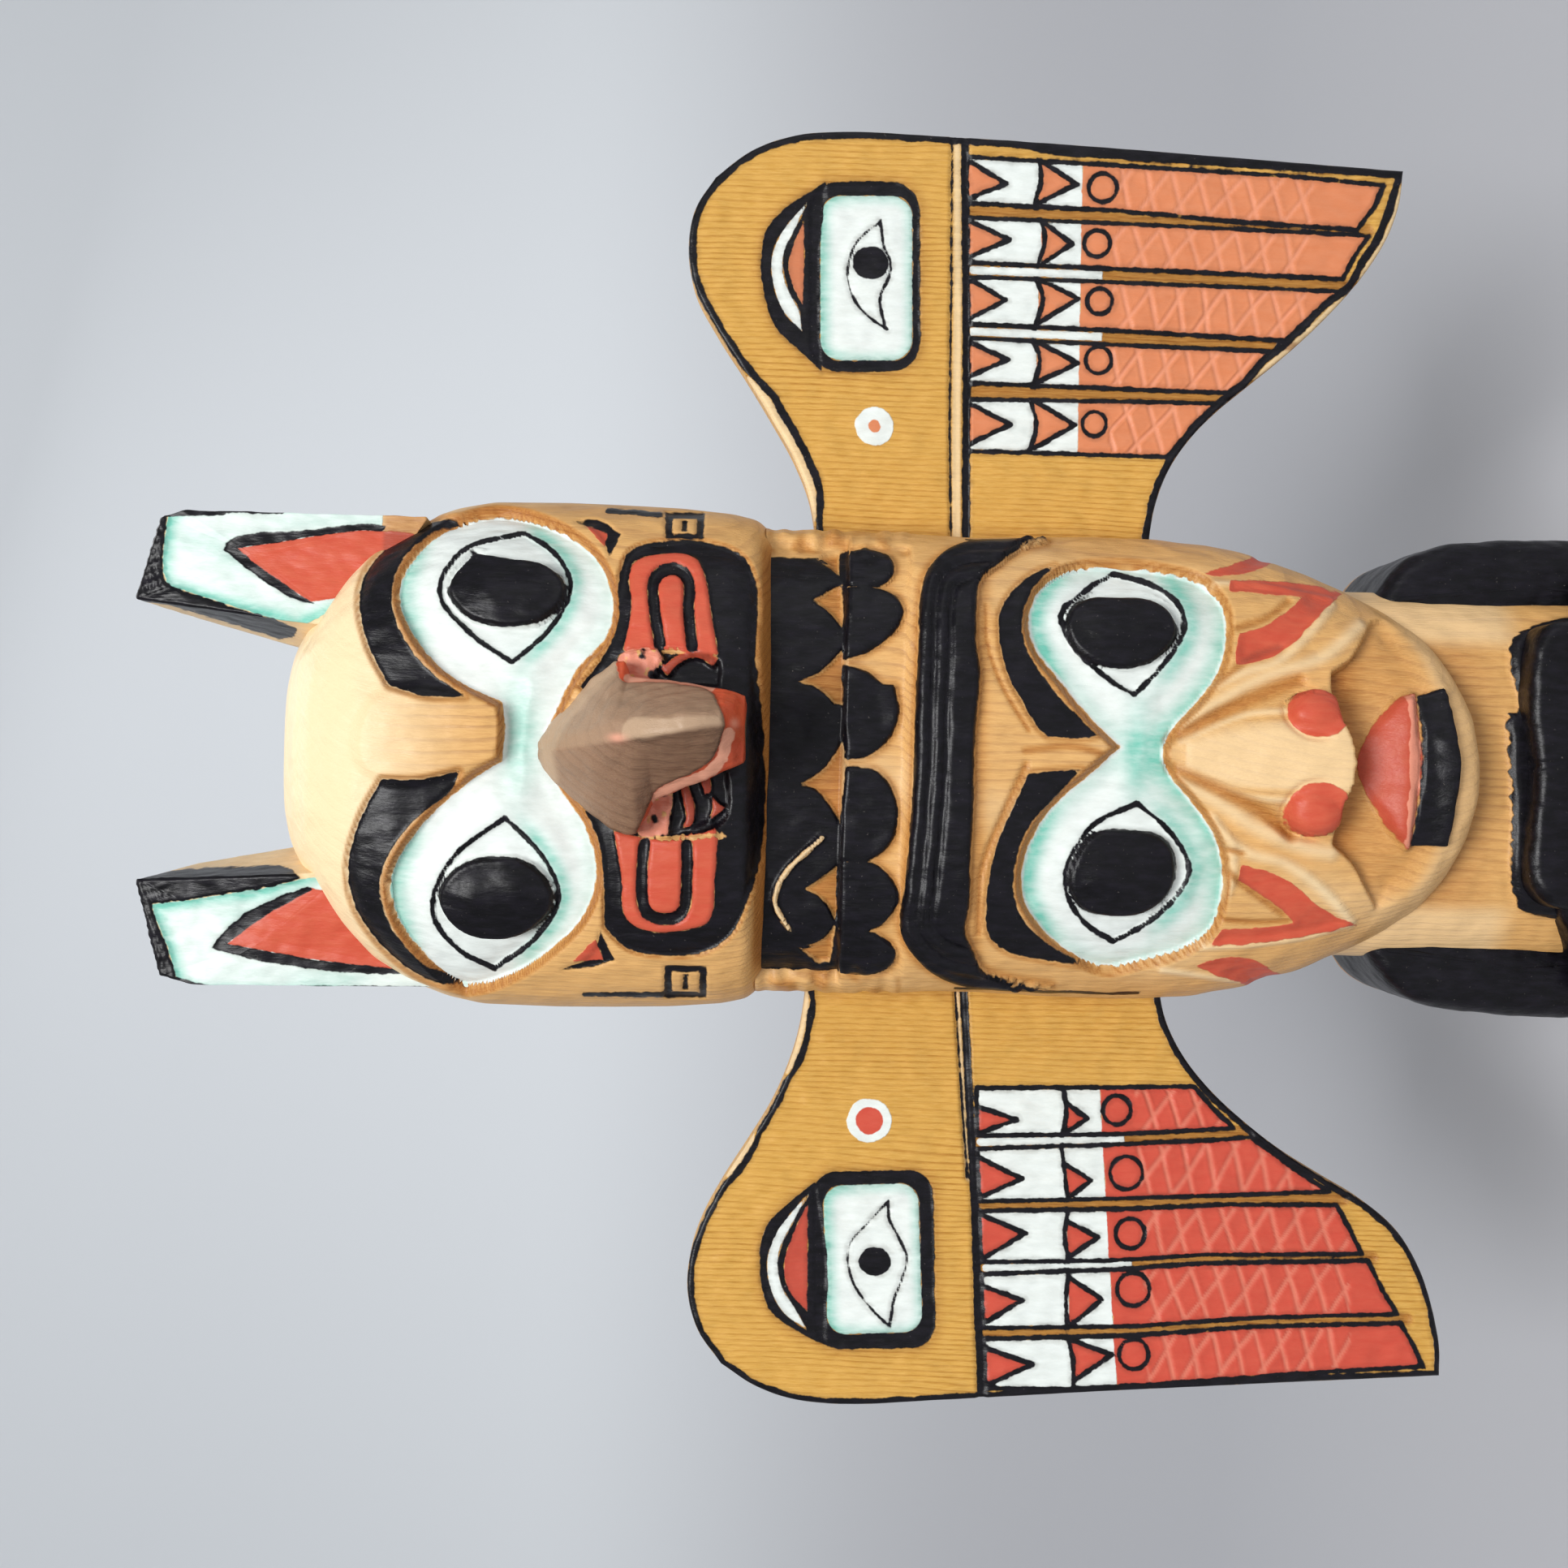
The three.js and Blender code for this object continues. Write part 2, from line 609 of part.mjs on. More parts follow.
const RIGHT_WING = {
  side: 1,
  top: [
    [34.4, 183.4], [41.5, 183.5], [48, 184.7], [55, 187.6], [62, 191.7], [70, 196.8], [78, 202.2],
    [86, 206.6], [93, 207.8], [100, 206.8], [106, 203.2], [111, 196.8], [114, 188.8], [114.9, 180],
    [114.6, 165], [113.6, 140], [112, 110], [109.9, 78],
  ],
  bottom: [
    [109.9, 78], [104, 78.6], [98, 80.6], [91, 84.8], [84, 90.6], [77, 97.6], [71, 104.6],
    [66, 110.4], [61, 115.2], [55, 119.2], [48, 121.7], [41.5, 122.6], [34.4, 122.8],
  ],
  line: [157.2, 158.6],
  feathers: [
    [57.5, 57, 66.8, 66.2], [68.7, 67.8, 77.2, 76.4], [79.8, 79, 89, 87.6], [91, 90.2, 100.2, 98.2],
    [102.4, 100.2, 110.8, 107.8],
  ],
  feet: [[120, 112.5], [107.5, 97], [96.3, 89.5], [89.3, 85], [86.7, 81.8]],
  eye: { at: [89.5, 175.8], radiusX: 16.5, radiusZ: 9.6 },
};
const LEFT_WING = {
  side: -1,
  top: [
    [34.4, 183.2], [42, 183.2], [50, 184.3], [57, 186.4], [63, 189], [70, 193.1], [77, 197.4],
    [84, 201], [90, 202.9], [97, 203.3], [104, 201.3], [110, 196.9], [114, 190.5], [116.3, 183],
    [116.9, 175], [115.8, 158], [113.6, 130], [111.4, 100], [109, 66],
  ],
  bottom: [
    [109, 66], [104, 66.1], [97, 67.5], [90, 69.9], [83, 74.2], [78, 80], [74, 87], [69.5, 94.6],
    [64, 102.2], [58, 109], [52, 114], [46, 117.2], [41, 118.5], [34.4, 118.8],
  ],
  line: [154, 149.6],
  feathers: [
    [58.2, 57.4, 66.8, 64.6], [69.4, 66.6, 79.2, 75.6], [80.6, 78.4, 91, 86.6],
    [92.2, 88.6, 102.4, 97.8], [104.2, 99.2, 113.4, 107.4],
  ],
  feet: [[112, 105.5], [100.6, 84.8], [85.5, 80.5], [79.5, 74.2], [72.5, 69]],
  eye: { at: [90.4, 169.5], radiusX: 15.6, radiusZ: 10.8 },
};
const GROOVE = {
  width: 1.3, // between feathers
  dividerWidth: 1.6, // between arm and feathers, from this far past the root to this x
  start: 4,
  end: 112,
  depth: 0.8,
  eye: 2, // round the eye, which is this square
  eyeSquareness: 4,
};
const OUTLINE_STEPS = { top: 34, bottom: 22 };

// A groove cut along a straight line, as a thin box sunk in the front of a board.
function groove([x0, z0], [x1, z1], width = GROOVE.width) {
  const along = new THREE.Vector2(x1 - x0, z1 - z0).normalize();
  const across = new THREE.Vector2(-along.y, along.x).multiplyScalar(width / 2);
  return slab(
    polygon([
      [x0 - across.x, z0 - across.y], [x1 - across.x, z1 - across.y],
      [x1 + across.x, z1 + across.y], [x0 + across.x, z0 + across.y],
    ]),
    WING.frontY - 1,
    WING.frontY + GROOVE.depth,
  );
}

// The groove round the eye is what lies between two ovals.
function eyeGroove({ at, radiusX, radiusZ }) {
  const around = (grow, front, back) =>
    slab(oval(at, radiusX + grow, radiusZ + grow, GROOVE.eyeSquareness), front, back);
  const half = GROOVE.eye / 2;
  const outer = around(half, WING.frontY - 1, WING.frontY + GROOVE.depth);
  return outer.subtract(around(-half, WING.frontY - 2, WING.frontY + 1));
}

function wing({ side, top, bottom, line, feathers, feet, eye }) {
  const curve = (points, steps) =>
    new THREE.SplineCurve(points.map(([x, z]) => new THREE.Vector2(x, z))).getSpacedPoints(steps);
  const over = curve(top, OUTLINE_STEPS.top).slice(0, -1);
  const outline = new THREE.Shape([...over, ...curve(bottom, OUTLINE_STEPS.bottom)]);
  let made = slab(outline, WING.frontY, WING.frontY + WING.thickness);
  const divider = [[WING.rootX + GROOVE.start, line[0]], [GROOVE.end, line[1]]];
  made = made.subtract(groove(...divider, GROOVE.dividerWidth));
  for (let i = 0; i + 1 < feathers.length; i++) {
    const start = [(feathers[i][2] + feathers[i + 1][0]) / 2, line[1] - 1.5];
    const end = [(feathers[i][3] + feathers[i + 1][1]) / 2, feet[i][1] - 1];
    made = made.subtract(groove(start, end));
  }
  made = made.subtract(eyeGroove(eye));
  return side > 0 ? made : made.mirror([1, 0, 0]);
}

function wingSlot({ side, top, bottom }) {
  const low = bottom.at(-1)[1] - WING.gap;
  const high = top[0][1] + WING.gap;
  return slab(
    polygon([[side * WING.slotX, low], [side * 50, low], [side * 50, high], [side * WING.slotX, high]]),
    WING.frontY - WING.gap,
    WING.frontY + WING.thickness + WING.gap,
  );
}

// Assembly

const cedar = new THREE.MeshStandardMaterial({ color: 0xd9a755, roughness: 0.5, metalness: 0 });
const board = new THREE.MeshStandardMaterial({ color: 0xcf9a45, roughness: 0.5, metalness: 0 });

function named(name, manifold, material) {
  const mesh = new THREE.Mesh(geometry(manifold), material);
  mesh.name = name;
  return mesh;
}

let pole = joined(base(), manBody(), manHead(), birdChest(), birdHead());
for (const side of [RIGHT_WING, LEFT_WING]) pole = pole.subtract(wingSlot(side));

const totem = new THREE.Group();
totem.add(named("pole", pole, cedar));
totem.add(named("wing_right", wing(RIGHT_WING), board));
totem.add(named("wing_left", wing(LEFT_WING), board));

export default totem;
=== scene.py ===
import math
import bpy
import numpy as np
from mathutils import Matrix


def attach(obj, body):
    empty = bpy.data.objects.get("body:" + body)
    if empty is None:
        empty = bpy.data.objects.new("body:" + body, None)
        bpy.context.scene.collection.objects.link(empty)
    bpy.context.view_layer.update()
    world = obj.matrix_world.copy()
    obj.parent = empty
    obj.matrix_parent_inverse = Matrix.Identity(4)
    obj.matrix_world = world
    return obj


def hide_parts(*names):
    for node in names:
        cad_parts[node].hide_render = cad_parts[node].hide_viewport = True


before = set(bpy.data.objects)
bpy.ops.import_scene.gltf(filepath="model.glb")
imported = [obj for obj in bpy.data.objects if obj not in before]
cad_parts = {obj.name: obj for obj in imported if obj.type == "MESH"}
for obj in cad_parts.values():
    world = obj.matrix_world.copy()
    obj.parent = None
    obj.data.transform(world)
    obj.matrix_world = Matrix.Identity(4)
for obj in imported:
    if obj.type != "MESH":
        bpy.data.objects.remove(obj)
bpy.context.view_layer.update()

# Lengths are in millimetres until a mesh is made. X is to the viewer's right, Z is up, and the
# figures look along -Y.

# Shader helpers.


# "#RRGGBB" to linear light: each part over 255, through the standard screen curve.
def colour(code):
    parts = [int(code[i : i + 2], 16) / 255 for i in (1, 3, 5)]
    return tuple(p / 12.92 if p <= 0.04045 else ((p + 0.055) / 1.055) ** 2.4 for p in parts) + (1,)


# Short ways to add shader nodes: each one adds a node and gives back its output.
class Nodes:
    def __init__(self, tree):
        self.tree = tree

    def put(self, socket, value):
        if isinstance(value, bpy.types.NodeSocket):
            self.tree.links.new(value, socket)
        else:
            socket.default_value = value

    def add(self, kind, inputs=None, **settings):
        node = self.tree.nodes.new(kind)
        for key, value in settings.items():
            setattr(node, key, value)
        for key, value in (inputs or {}).items():
            self.put(node.inputs[key], value)
        return node

    def math(self, operation, a, b=0.0):
        return self.add("ShaderNodeMath", {0: a, 1: b}, operation=operation).outputs[0]

    def mix(self, factor, a, b, blend="MIX"):
        node = self.add("ShaderNodeMix", data_type="RGBA", blend_type=blend)
        self.put(node.inputs[0], factor)
        self.put(node.inputs[6], a)
        self.put(node.inputs[7], b)
        return node.outputs[2]

    def rangeOf(self, value, low, high, toLow=0.0, toHigh=1.0, smooth=False):
        node = self.add("ShaderNodeMapRange", {0: value, 1: low, 2: high, 3: toLow, 4: toHigh})
        node.interpolation_type = "SMOOTHSTEP" if smooth else "LINEAR"
        return node.outputs[0]

    def noise(self, vector, scale, detail, rough=0.5):
        inputs = {"Vector": vector, "Scale": scale, "Detail": detail, "Roughness": rough}
        return self.add("ShaderNodeTexNoise", inputs).outputs[0]

    def attribute(self, name):
        return self.add("ShaderNodeAttribute", attribute_name=name).outputs["Fac"]

    def stretched(self, vector, scale):
        return self.add("ShaderNodeMapping", {"Vector": vector, "Scale": scale}).outputs[0]


# Camera, lights and floor.

eye = {"x": -4.2, "y": -272.0, "z": 188.0, "roll": 1.42, "fieldOfView": 55.15}
sheetZero = 243.0  # the nearest drawing sheet stands this far in front of the eye


# The view is level and looks along +Y, and the picture's upward side is the object's +X, rolled a little.
def makeCamera():
    roll = math.radians(eye["roll"])
    right = np.array([math.sin(roll), 0, -math.cos(roll)])
    up = np.array([math.cos(roll), 0, math.sin(roll)])
    away = np.array([0, -1, 0])
    data = bpy.data.cameras.new("camera")
    data.sensor_width = 36
    data.lens = 18 / math.tan(math.radians(eye["fieldOfView"]) / 2)
    data.clip_start = 0.01
    camera = bpy.data.objects.new("camera", data)
    bpy.context.scene.collection.objects.link(camera)
    matrix = np.eye(4)
    matrix[:3, 0] = right
    matrix[:3, 1] = up
    matrix[:3, 2] = away
    matrix[:3, 3] = np.array([eye["x"], eye["y"], eye["z"]]) / 1000
    camera.matrix_world = Matrix(matrix.tolist())
    bpy.context.scene.camera = camera


studio = {
    "lamps": [  # name, place in metres, aim, size, watts
        ("key", (-0.1, -1.5, 1.4), (0, 0.1, 0.17), 0.9, 36.0),
        ("fill", (0.8, -0.7, 0.15), (0, 0, 0.15), 0.8, 1.4),
        ("rim", (0.25, 0.55, 1.2), (0, 0, 0.2), 0.8, 3.0),
    ],
    "air": 0.3,  # brightness of the plain surroundings
    "sweep": {"front": -2.4, "bendFrom": 0.35, "bend": 0.75, "top": 2.6, "half": 2.4},
}


# The backdrop is one sheet: a flat floor, a quarter circle and a wall, all straight along X.
def makeBackdrop():
    s = studio["sweep"]
    turn = np.linspace(0, math.pi / 2, 60)
    y = np.concatenate([[s["front"]], s["bendFrom"] + s["bend"] * np.sin(turn), [s["bendFrom"] + s["bend"]]])
    z = np.concatenate([[0], s["bend"] * (1 - np.cos(turn)), [s["top"]]])
    left = np.stack([np.full(len(y), -s["half"]), y, z], axis=-1)
    points = np.concatenate([left, left * [-1, 1, 1]])
    row = np.arange(len(y) - 1)
    faces = np.stack([row, row + len(y), row + len(y) + 1, row + 1], axis=-1)
    mesh = bpy.data.meshes.new("floor")
    mesh.from_pydata(points.tolist(), [], faces.tolist())
    mesh.polygons.foreach_set("use_smooth", np.ones(len(faces), bool))
    floor = bpy.data.objects.new("floor", mesh)
    bpy.context.scene.collection.objects.link(floor)
    finish = bpy.data.materials.new("pale_floor")
    finish.use_nodes = True
    shader = finish.node_tree.nodes["Principled BSDF"]
    n = Nodes(finish.node_tree)
    height = n.add("ShaderNodeSeparateXYZ", {0: n.add("ShaderNodeTexCoord").outputs["Object"]}).outputs[2]
    tone = n.mix(n.rangeOf(height, 0.0, 0.4, smooth=True), (0.45, 0.455, 0.48, 1), (0.73, 0.76, 0.79, 1))
    n.put(shader.inputs["Base Color"], tone)
    shader.inputs["Roughness"].default_value = 0.95
    shader.inputs["Specular IOR Level"].default_value = 0.1
    mesh.materials.append(finish)


# Each lamp is a disc turned so that its back points away from what it lights.
def makeStudio():
    for name, place, aim, size, watts in studio["lamps"]:
        data = bpy.data.lights.new(name, "AREA")
        data.shape = "DISK"
        data.size = size
        data.energy = watts
        lamp = bpy.data.objects.new(name, data)
        bpy.context.scene.collection.objects.link(lamp)
        towards = np.array(aim, float) - np.array(place, float)
        back = -towards / np.linalg.norm(towards)
        side = np.cross([0, 0, 1], back)
        side /= np.linalg.norm(side)
        matrix = np.eye(4)
        matrix[:3, 0] = side
        matrix[:3, 1] = np.cross(back, side)
        matrix[:3, 2] = back
        matrix[:3, 3] = place
        lamp.matrix_world = Matrix(matrix.tolist())
    world = bpy.data.worlds.new("air")
    world.use_nodes = True
    sky = world.node_tree.nodes["Background"]
    sky.inputs["Color"].default_value = (0.94, 0.965, 1.0, 1)
    sky.inputs["Strength"].default_value = studio["air"]
    bpy.context.scene.world = world
    bpy.context.scene.view_settings.view_transform = "Standard"


makeCamera()
makeStudio()
makeBackdrop()
print("studio ready")

# Outlines drawn on a flat sheet, and the distance to them.


# Where the eye sees each point on a sheet that stands `depth` behind the nearest one:
# the point is carried along its line to the eye until it meets the sheet.
def onSheet(x, y, z, depth):
    reach = (sheetZero + depth) / (y - eye["y"])
    return eye["x"] + (x - eye["x"]) * reach, eye["z"] + (z - eye["z"]) * reach


# The same points seen on a sheet at another depth.
def shifted(sheet, before, after):
    scale = (sheetZero + after) / (sheetZero + before)
    return eye["x"] + (sheet[0] - eye["x"]) * scale, eye["z"] + (sheet[1] - eye["z"]) * scale


# 1 on a line, 0 beyond its half width.
def nearLine(sheet, line, halfWidth):
    return ease(halfWidth + stroke(sheet, smoothRing(line, 5, closed=False), 0), 0, halfWidth)


# A smooth closed line through points: each stretch is a cubic whose end directions are the
# mean of the two sides that meet there. A point with a third number is a sharp corner.
def smoothRing(points, steps=5, closed=True):
    place = np.array([p[:2] for p in points], float)
    sharp = np.array([len(p) > 2 for p in points])
    if not closed:
        sharp[0] = sharp[-1] = True
    ahead = np.roll(place, -1, axis=0) - place
    length = np.maximum(np.linalg.norm(ahead, axis=1, keepdims=True), 1e-9)
    unit = ahead / length
    before = np.roll(unit, 1, axis=0)
    mean = unit + before
    mean /= np.maximum(np.linalg.norm(mean, axis=1, keepdims=True), 1e-9)
    leave = np.where(sharp[:, None], unit, mean) * length
    arriveUnit = np.where(sharp[:, None], before, mean)
    arrive = np.roll(arriveUnit, -1, axis=0) * length
    after = np.roll(place, -1, axis=0)
    t = (np.arange(steps) / steps)[None, :, None]
    curve = (
        place[:, None] * (2 * t**3 - 3 * t**2 + 1)
        + leave[:, None] * (t**3 - 2 * t**2 + t)
        + after[:, None] * (3 * t**2 - 2 * t**3)
        + arrive[:, None] * (t**3 - t**2)
    )
    line = curve.reshape(-1, 2)
    if closed:
        return line
    return np.vstack([line[: (len(points) - 1) * steps], place[-1:]])


# The same outline with X turned round, and its order too, so that it still runs the same way.
def mirrorRing(points):
    return [(-p[0], *p[1:]) for p in points][::-1]


# Distance from each point of a sheet to a line of short stretches, and whether it is inside.
def lineDistance(x, z, line, closed):
    best = np.full(x.shape, 1e9)
    inside = np.zeros(x.shape, bool)
    ends = np.roll(line, -1, axis=0)
    count = len(line) if closed else len(line) - 1
    for i in range(count):
        ax, az = line[i]
        bx, bz = ends[i]
        ex, ez = bx - ax, bz - az
        along = ((x - ax) * ex + (z - az) * ez) / max(ex * ex + ez * ez, 1e-12)
        along = np.clip(along, 0, 1)
        best = np.minimum(best, (x - ax - along * ex) ** 2 + (z - az - along * ez) ** 2)
        if closed and az != bz:
            inside ^= ((az > z) != (bz > z)) & (x < ax + ex * (z - az) / ez)
    return np.sqrt(best), inside


far = -6.0  # stands for "well outside" in every distance field
offSheet = 500.0  # the X of a point that the eye can't see


# Distance inside a closed outline: positive inside, negative outside, `far` a long way off.
def within(sheet, ring):
    x, z = sheet
    low, high = ring.min(axis=0) + far, ring.max(axis=0) - far
    near = (x > low[0]) & (x < high[0]) & (z > low[1]) & (z < high[1])
    field = np.full(x.shape, far)
    if near.any():
        distance, inside = lineDistance(x[near], z[near], ring, True)
        field[near] = np.maximum(np.where(inside, distance, -distance), far)
    return field


# Distance inside a brush line of a given width drawn along a path.
def stroke(sheet, line, width, closed=False):
    x, z = sheet
    low, high = line.min(axis=0) + far, line.max(axis=0) - far
    near = (x > low[0]) & (x < high[0]) & (z > low[1]) & (z < high[1])
    field = np.full(x.shape, far)
    if near.any():
        distance, _ = lineDistance(x[near], z[near], line, closed)
        field[near] = np.maximum(width / 2 - distance, far)
    return field


# Joined shapes have the greatest of their distances, and what shapes share has the least.
def union(*fields):
    return np.maximum.reduce(fields)


def common(*fields):
    return np.minimum.reduce(fields)


# Distance inside any of several smooth outlines.
def withinAny(sheet, rings):
    return union(*[within(sheet, smoothRing(ring)) for ring in rings])


# A soft step: 0 up to `start`, 1 from `end`, an S between.
def ease(field, start, end):
    t = np.clip((field - start) / (end - start), 0, 1)
    return t * t * (3 - 2 * t)


# Smooth wandering value from -1 to 1: a sum of crossed sine waves, one wave per `scale` mm.
def wander(x, z, scale, seed):
    a, b = x / scale * 2 * math.pi, z / scale * 2 * math.pi
    waves = np.sin(a * 0.83 + b * 0.31 + seed) + np.sin(b * 0.91 - a * 0.47 + seed * 2.3)
    waves += np.sin(a * 0.39 + b * 1.27 + seed * 4.1) * 0.7 + np.sin(a * 1.63 - b * 0.77 + seed * 0.7) * 0.5
    return waves / 3.2


# Meshes from grids.

# What each kind of paint holds where there is none: a distance for outlines, 0 for amounts.
paintBlanks = {
    "white": far, "mint": 0.0, "red": far, "pink": far, "black": far, "paleAndLit": 0.0, "stainAndShade": 0.0, "cut": 0.0,
}


# Puts the whole arrays of points, faces and paint into a mesh, in metres, and hides the part it replaces.
def finishPiece(name, points, faces, paint, material, node):
    mesh = bpy.data.meshes.new(name)
    mesh.vertices.add(len(points))
    mesh.vertices.foreach_set("co", (points / 1000).astype(np.float32).ravel())
    loops = np.concatenate([np.asarray(f, np.int32).ravel() for f in faces])
    sizes = np.concatenate([np.full(len(f), np.asarray(f).shape[1], np.int32) for f in faces])
    starts = np.concatenate([[0], np.cumsum(sizes)[:-1]]).astype(np.int32)
    mesh.loops.add(len(loops))
    mesh.loops.foreach_set("vertex_index", loops)
    mesh.polygons.add(len(sizes))
    mesh.polygons.foreach_set("loop_start", starts)
    mesh.update(calc_edges=True)
    mesh.polygons.foreach_set("use_smooth", np.ones(len(sizes), bool))
    for key, blank in paintBlanks.items():
        layer = mesh.attributes.new(key, "FLOAT", "POINT")
        values = paint.get(key, np.full(len(points), blank))
        layer.data.foreach_set("value", values.astype(np.float32))
    mesh.validate()
    mesh.materials.append(material)
    piece = bpy.data.objects.new(name, mesh)
    bpy.context.scene.collection.objects.link(piece)
    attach(piece, "root")
    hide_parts(node)
    print(name, "made,", int((sizes - 2).sum()), "triangles")


# Faces between neighbouring rows of a grid whose columns close on themselves.
def tubeFaces(rows, columns):
    r, c = np.meshgrid(np.arange(rows - 1), np.arange(columns), indexing="ij")
    a = r * columns + c
    b = r * columns + (c + 1) % columns
    return np.stack([a, b, b + columns, a + columns], axis=-1).reshape(-1, 4)


# The same for an open grid.
def gridFaces(rows, columns):
    r, c = np.meshgrid(np.arange(rows - 1), np.arange(columns - 1), indexing="ij")
    a = r * columns + c
    return np.stack([a, a + 1, a + 1 + columns, a + columns], axis=-1).reshape(-1, 4)


# Triangles from one middle point to each stretch of a ring.
def fan(ring, middle, flip=False):
    after = np.roll(ring, -1)
    middles = np.full(len(ring), middle)
    return np.stack([after, ring, middles] if flip else [ring, after, middles], axis=-1)


# The pole's skin.

section = {
    "widestY": -1.0, "frontSpacing": 0.42, "backSteps": 8, "cornerRadius": 9.0,
    "tableSteps": 1200, "smoothing": 3.0, "smoothingReach": 25, "arcSteps": 6000,
    "hiddenFrom": -5, "hiddenTo": -1,  # carving and paint fade out between these depths
}


# Values of a station table at heights z, with rounded joints between stations.
def alongStations(stations, z):
    table = np.array(stations, float)
    fine = np.linspace(table[0, 0], table[-1, 0], section["tableSteps"])
    spread = section["smoothing"] / (fine[1] - fine[0]) / 2
    reach = section["smoothingReach"]
    kernel = np.exp(-0.5 * (np.arange(-reach, reach + 1) / max(spread / 2, 0.5)) ** 2)
    kernel /= kernel.sum()
    columns = []
    for k in range(1, table.shape[1]):
        values = np.interp(fine, table[:, 0], table[:, k])
        padded = np.pad(values, reach, mode="reflect", reflect_type="odd")
        columns.append(np.interp(z, fine, np.convolve(padded, kernel, "valid")))
    return columns


# One level ring at each height: the front is half of a superellipse, its points evenly spaced
# along the arc, and the back is flat with quarter-circle corners.
def skin(stations, z, squareness, spacing=section["frontSpacing"]):
    width, front, back = alongStations(stations, z)
    broad, deep = np.median(width), np.median(front)
    turn = np.linspace(0, math.pi, section["arcSteps"])
    power = 2 / squareness
    usual = float(np.median(power))
    cx = -broad * np.sign(np.cos(turn)) * np.abs(np.cos(turn)) ** usual
    cy = -deep * np.abs(np.sin(turn)) ** usual
    arc = np.concatenate([[0], np.cumsum(np.hypot(np.diff(cx), np.diff(cy)))])
    columns = int(arc[-1] / spacing)
    turn = np.interp(np.linspace(0, arc[-1], columns, endpoint=False), arc, turn)
    x = -width[:, None] * np.sign(np.cos(turn)) * np.abs(np.cos(turn)) ** power
    y = section["widestY"] - front[:, None] * np.abs(np.sin(turn)) ** power
    radius = np.minimum(section["cornerRadius"], np.minimum(width, back) / 2)[:, None]
    bend = np.linspace(0, math.pi / 2, section["backSteps"])
    cornerX = width[:, None] - radius * (1 - np.cos(bend))
    cornerY = section["widestY"] + back[:, None] - radius * (1 - np.sin(bend))
    flat = np.array([0.5, 0, -0.5])
    flatX = (width[:, None] - radius) * flat
    flatY = np.repeat(section["widestY"] + back[:, None], 3, axis=1)
    side = np.array([0.0, 0.33, 0.66])
    sideY = section["widestY"] + (back[:, None] - radius) * side
    sideX = np.repeat(width[:, None], 3, axis=1)
    x = np.hstack([x, sideX, cornerX, flatX, -cornerX[:, ::-1], -sideX[:, :0:-1]])
    y = np.hstack([y, sideY, cornerY, flatY, cornerY[:, ::-1], sideY[:, :0:-1]])
    points = np.stack([x, y, np.repeat(z[:, None], x.shape[1], axis=1)], axis=-1)
    return points, columns


# Outward direction at each grid point: the cross product of the two steps along the grid.
def outward(points):
    around = np.roll(points, -1, axis=1) - np.roll(points, 1, axis=1)
    up = np.gradient(points, axis=0)
    normal = np.cross(around, up)
    return normal / np.maximum(np.linalg.norm(normal, axis=-1, keepdims=True), 1e-9)


# Moves the skin out or in by the height that carve() gives where the eye sees each point,
# and repeats it, because a moved point is seen elsewhere. Both fade out round the sides.
def carvedSkin(points, columns, carve, depth, passes=3):
    normal = outward(points)
    front = np.zeros(points.shape[:2], bool)
    front[:, :columns] = True
    hasBack = columns < points.shape[1]
    moved = points
    for _ in range(passes):
        sx, sz = onSheet(moved[..., 0], moved[..., 1], moved[..., 2], depth)
        sheet = (np.where(front, sx, offSheet), sz)
        height, paint = carve(sheet, moved, front)
        hidden = ease(points[..., 1], section["hiddenFrom"], section["hiddenTo"]) if hasBack else 0
        moved = points + normal * (np.where(front, height, 0) * (1 - hidden))[..., None]
    for key in paint:
        if key != "paleAndLit":
            blank = paintBlanks[key]
            paint[key] = blank + (paint[key] - blank) * (1 - np.where(front, hidden, hasBack))
    return moved, paint


# Closes a stack of rings with a fan at each end.
def closedLoft(name, points, paint, material):
    rows, columns = points.shape[:2]
    flat = points.reshape(-1, 3)
    ends = np.stack([points[0].mean(axis=0), points[-1].mean(axis=0)])
    everything = np.vstack([flat, ends])
    low, high = len(flat), len(flat) + 1
    ring = np.arange(columns)
    faces = [
        tubeFaces(rows, columns),
        fan(ring, low, flip=True),
        fan(ring + (rows - 1) * columns, high),
    ]
    full = {}
    for key, value in paint.items():
        value = np.broadcast_to(value, points.shape[:2]).reshape(-1)
        full[key] = np.concatenate([value, [value[: columns].mean(), value[-columns:].mean()]])
    finishPiece(name, everything, faces, full, material, "pole")


# Wood and paint.

carvedFinish = {
    # The pale cream is for paler wood and painted light, the stain brown for stains and painted shade.
    "early": "#E3AA5A", "late": "#A6671F", "streak": "#CC8D3B", "paleAndLit": "#F3DAAE", "stainAndShade": "#A4621C",
    "white": "#EAF0EB", "whiteLow": "#DEE4DE", "mint": "#74C4B0",
    "red": "#CB523B", "redLight": "#DC7A58", "redDark": "#7A3A2C", "pink": "#E59379",
    "black": "#08070B", "blackLow": "#19161F", "fleck": "#77706C", "bleed": "#4A2A12", "scratch": "#F0A88C",
    "ringPitch": 1.25, "heart": (-72.0, 48.0), "fringe": 0.2,
}
boardFinish = dict(
    carvedFinish, early="#DFAF5C", late="#A4691B", streak="#CC9840",
    ringPitch=1.15, heart=(-400.0, 3.0), fringe=0.6,
)

beakFinish = dict(
    carvedFinish, early="#98775C", late="#6E503C", streak="#866450", paleAndLit="#BDA083", stainAndShade="#4C3224",
    white="#C9BFB4", whiteLow="#C0B5A8", mint="#BDB3A8", red="#D2502F", redLight="#DD7448", pink="#E2A084",
    black="#141113", ringPitch=2.1, heart=(-30.0, 20.0), fringe=0.15,
)
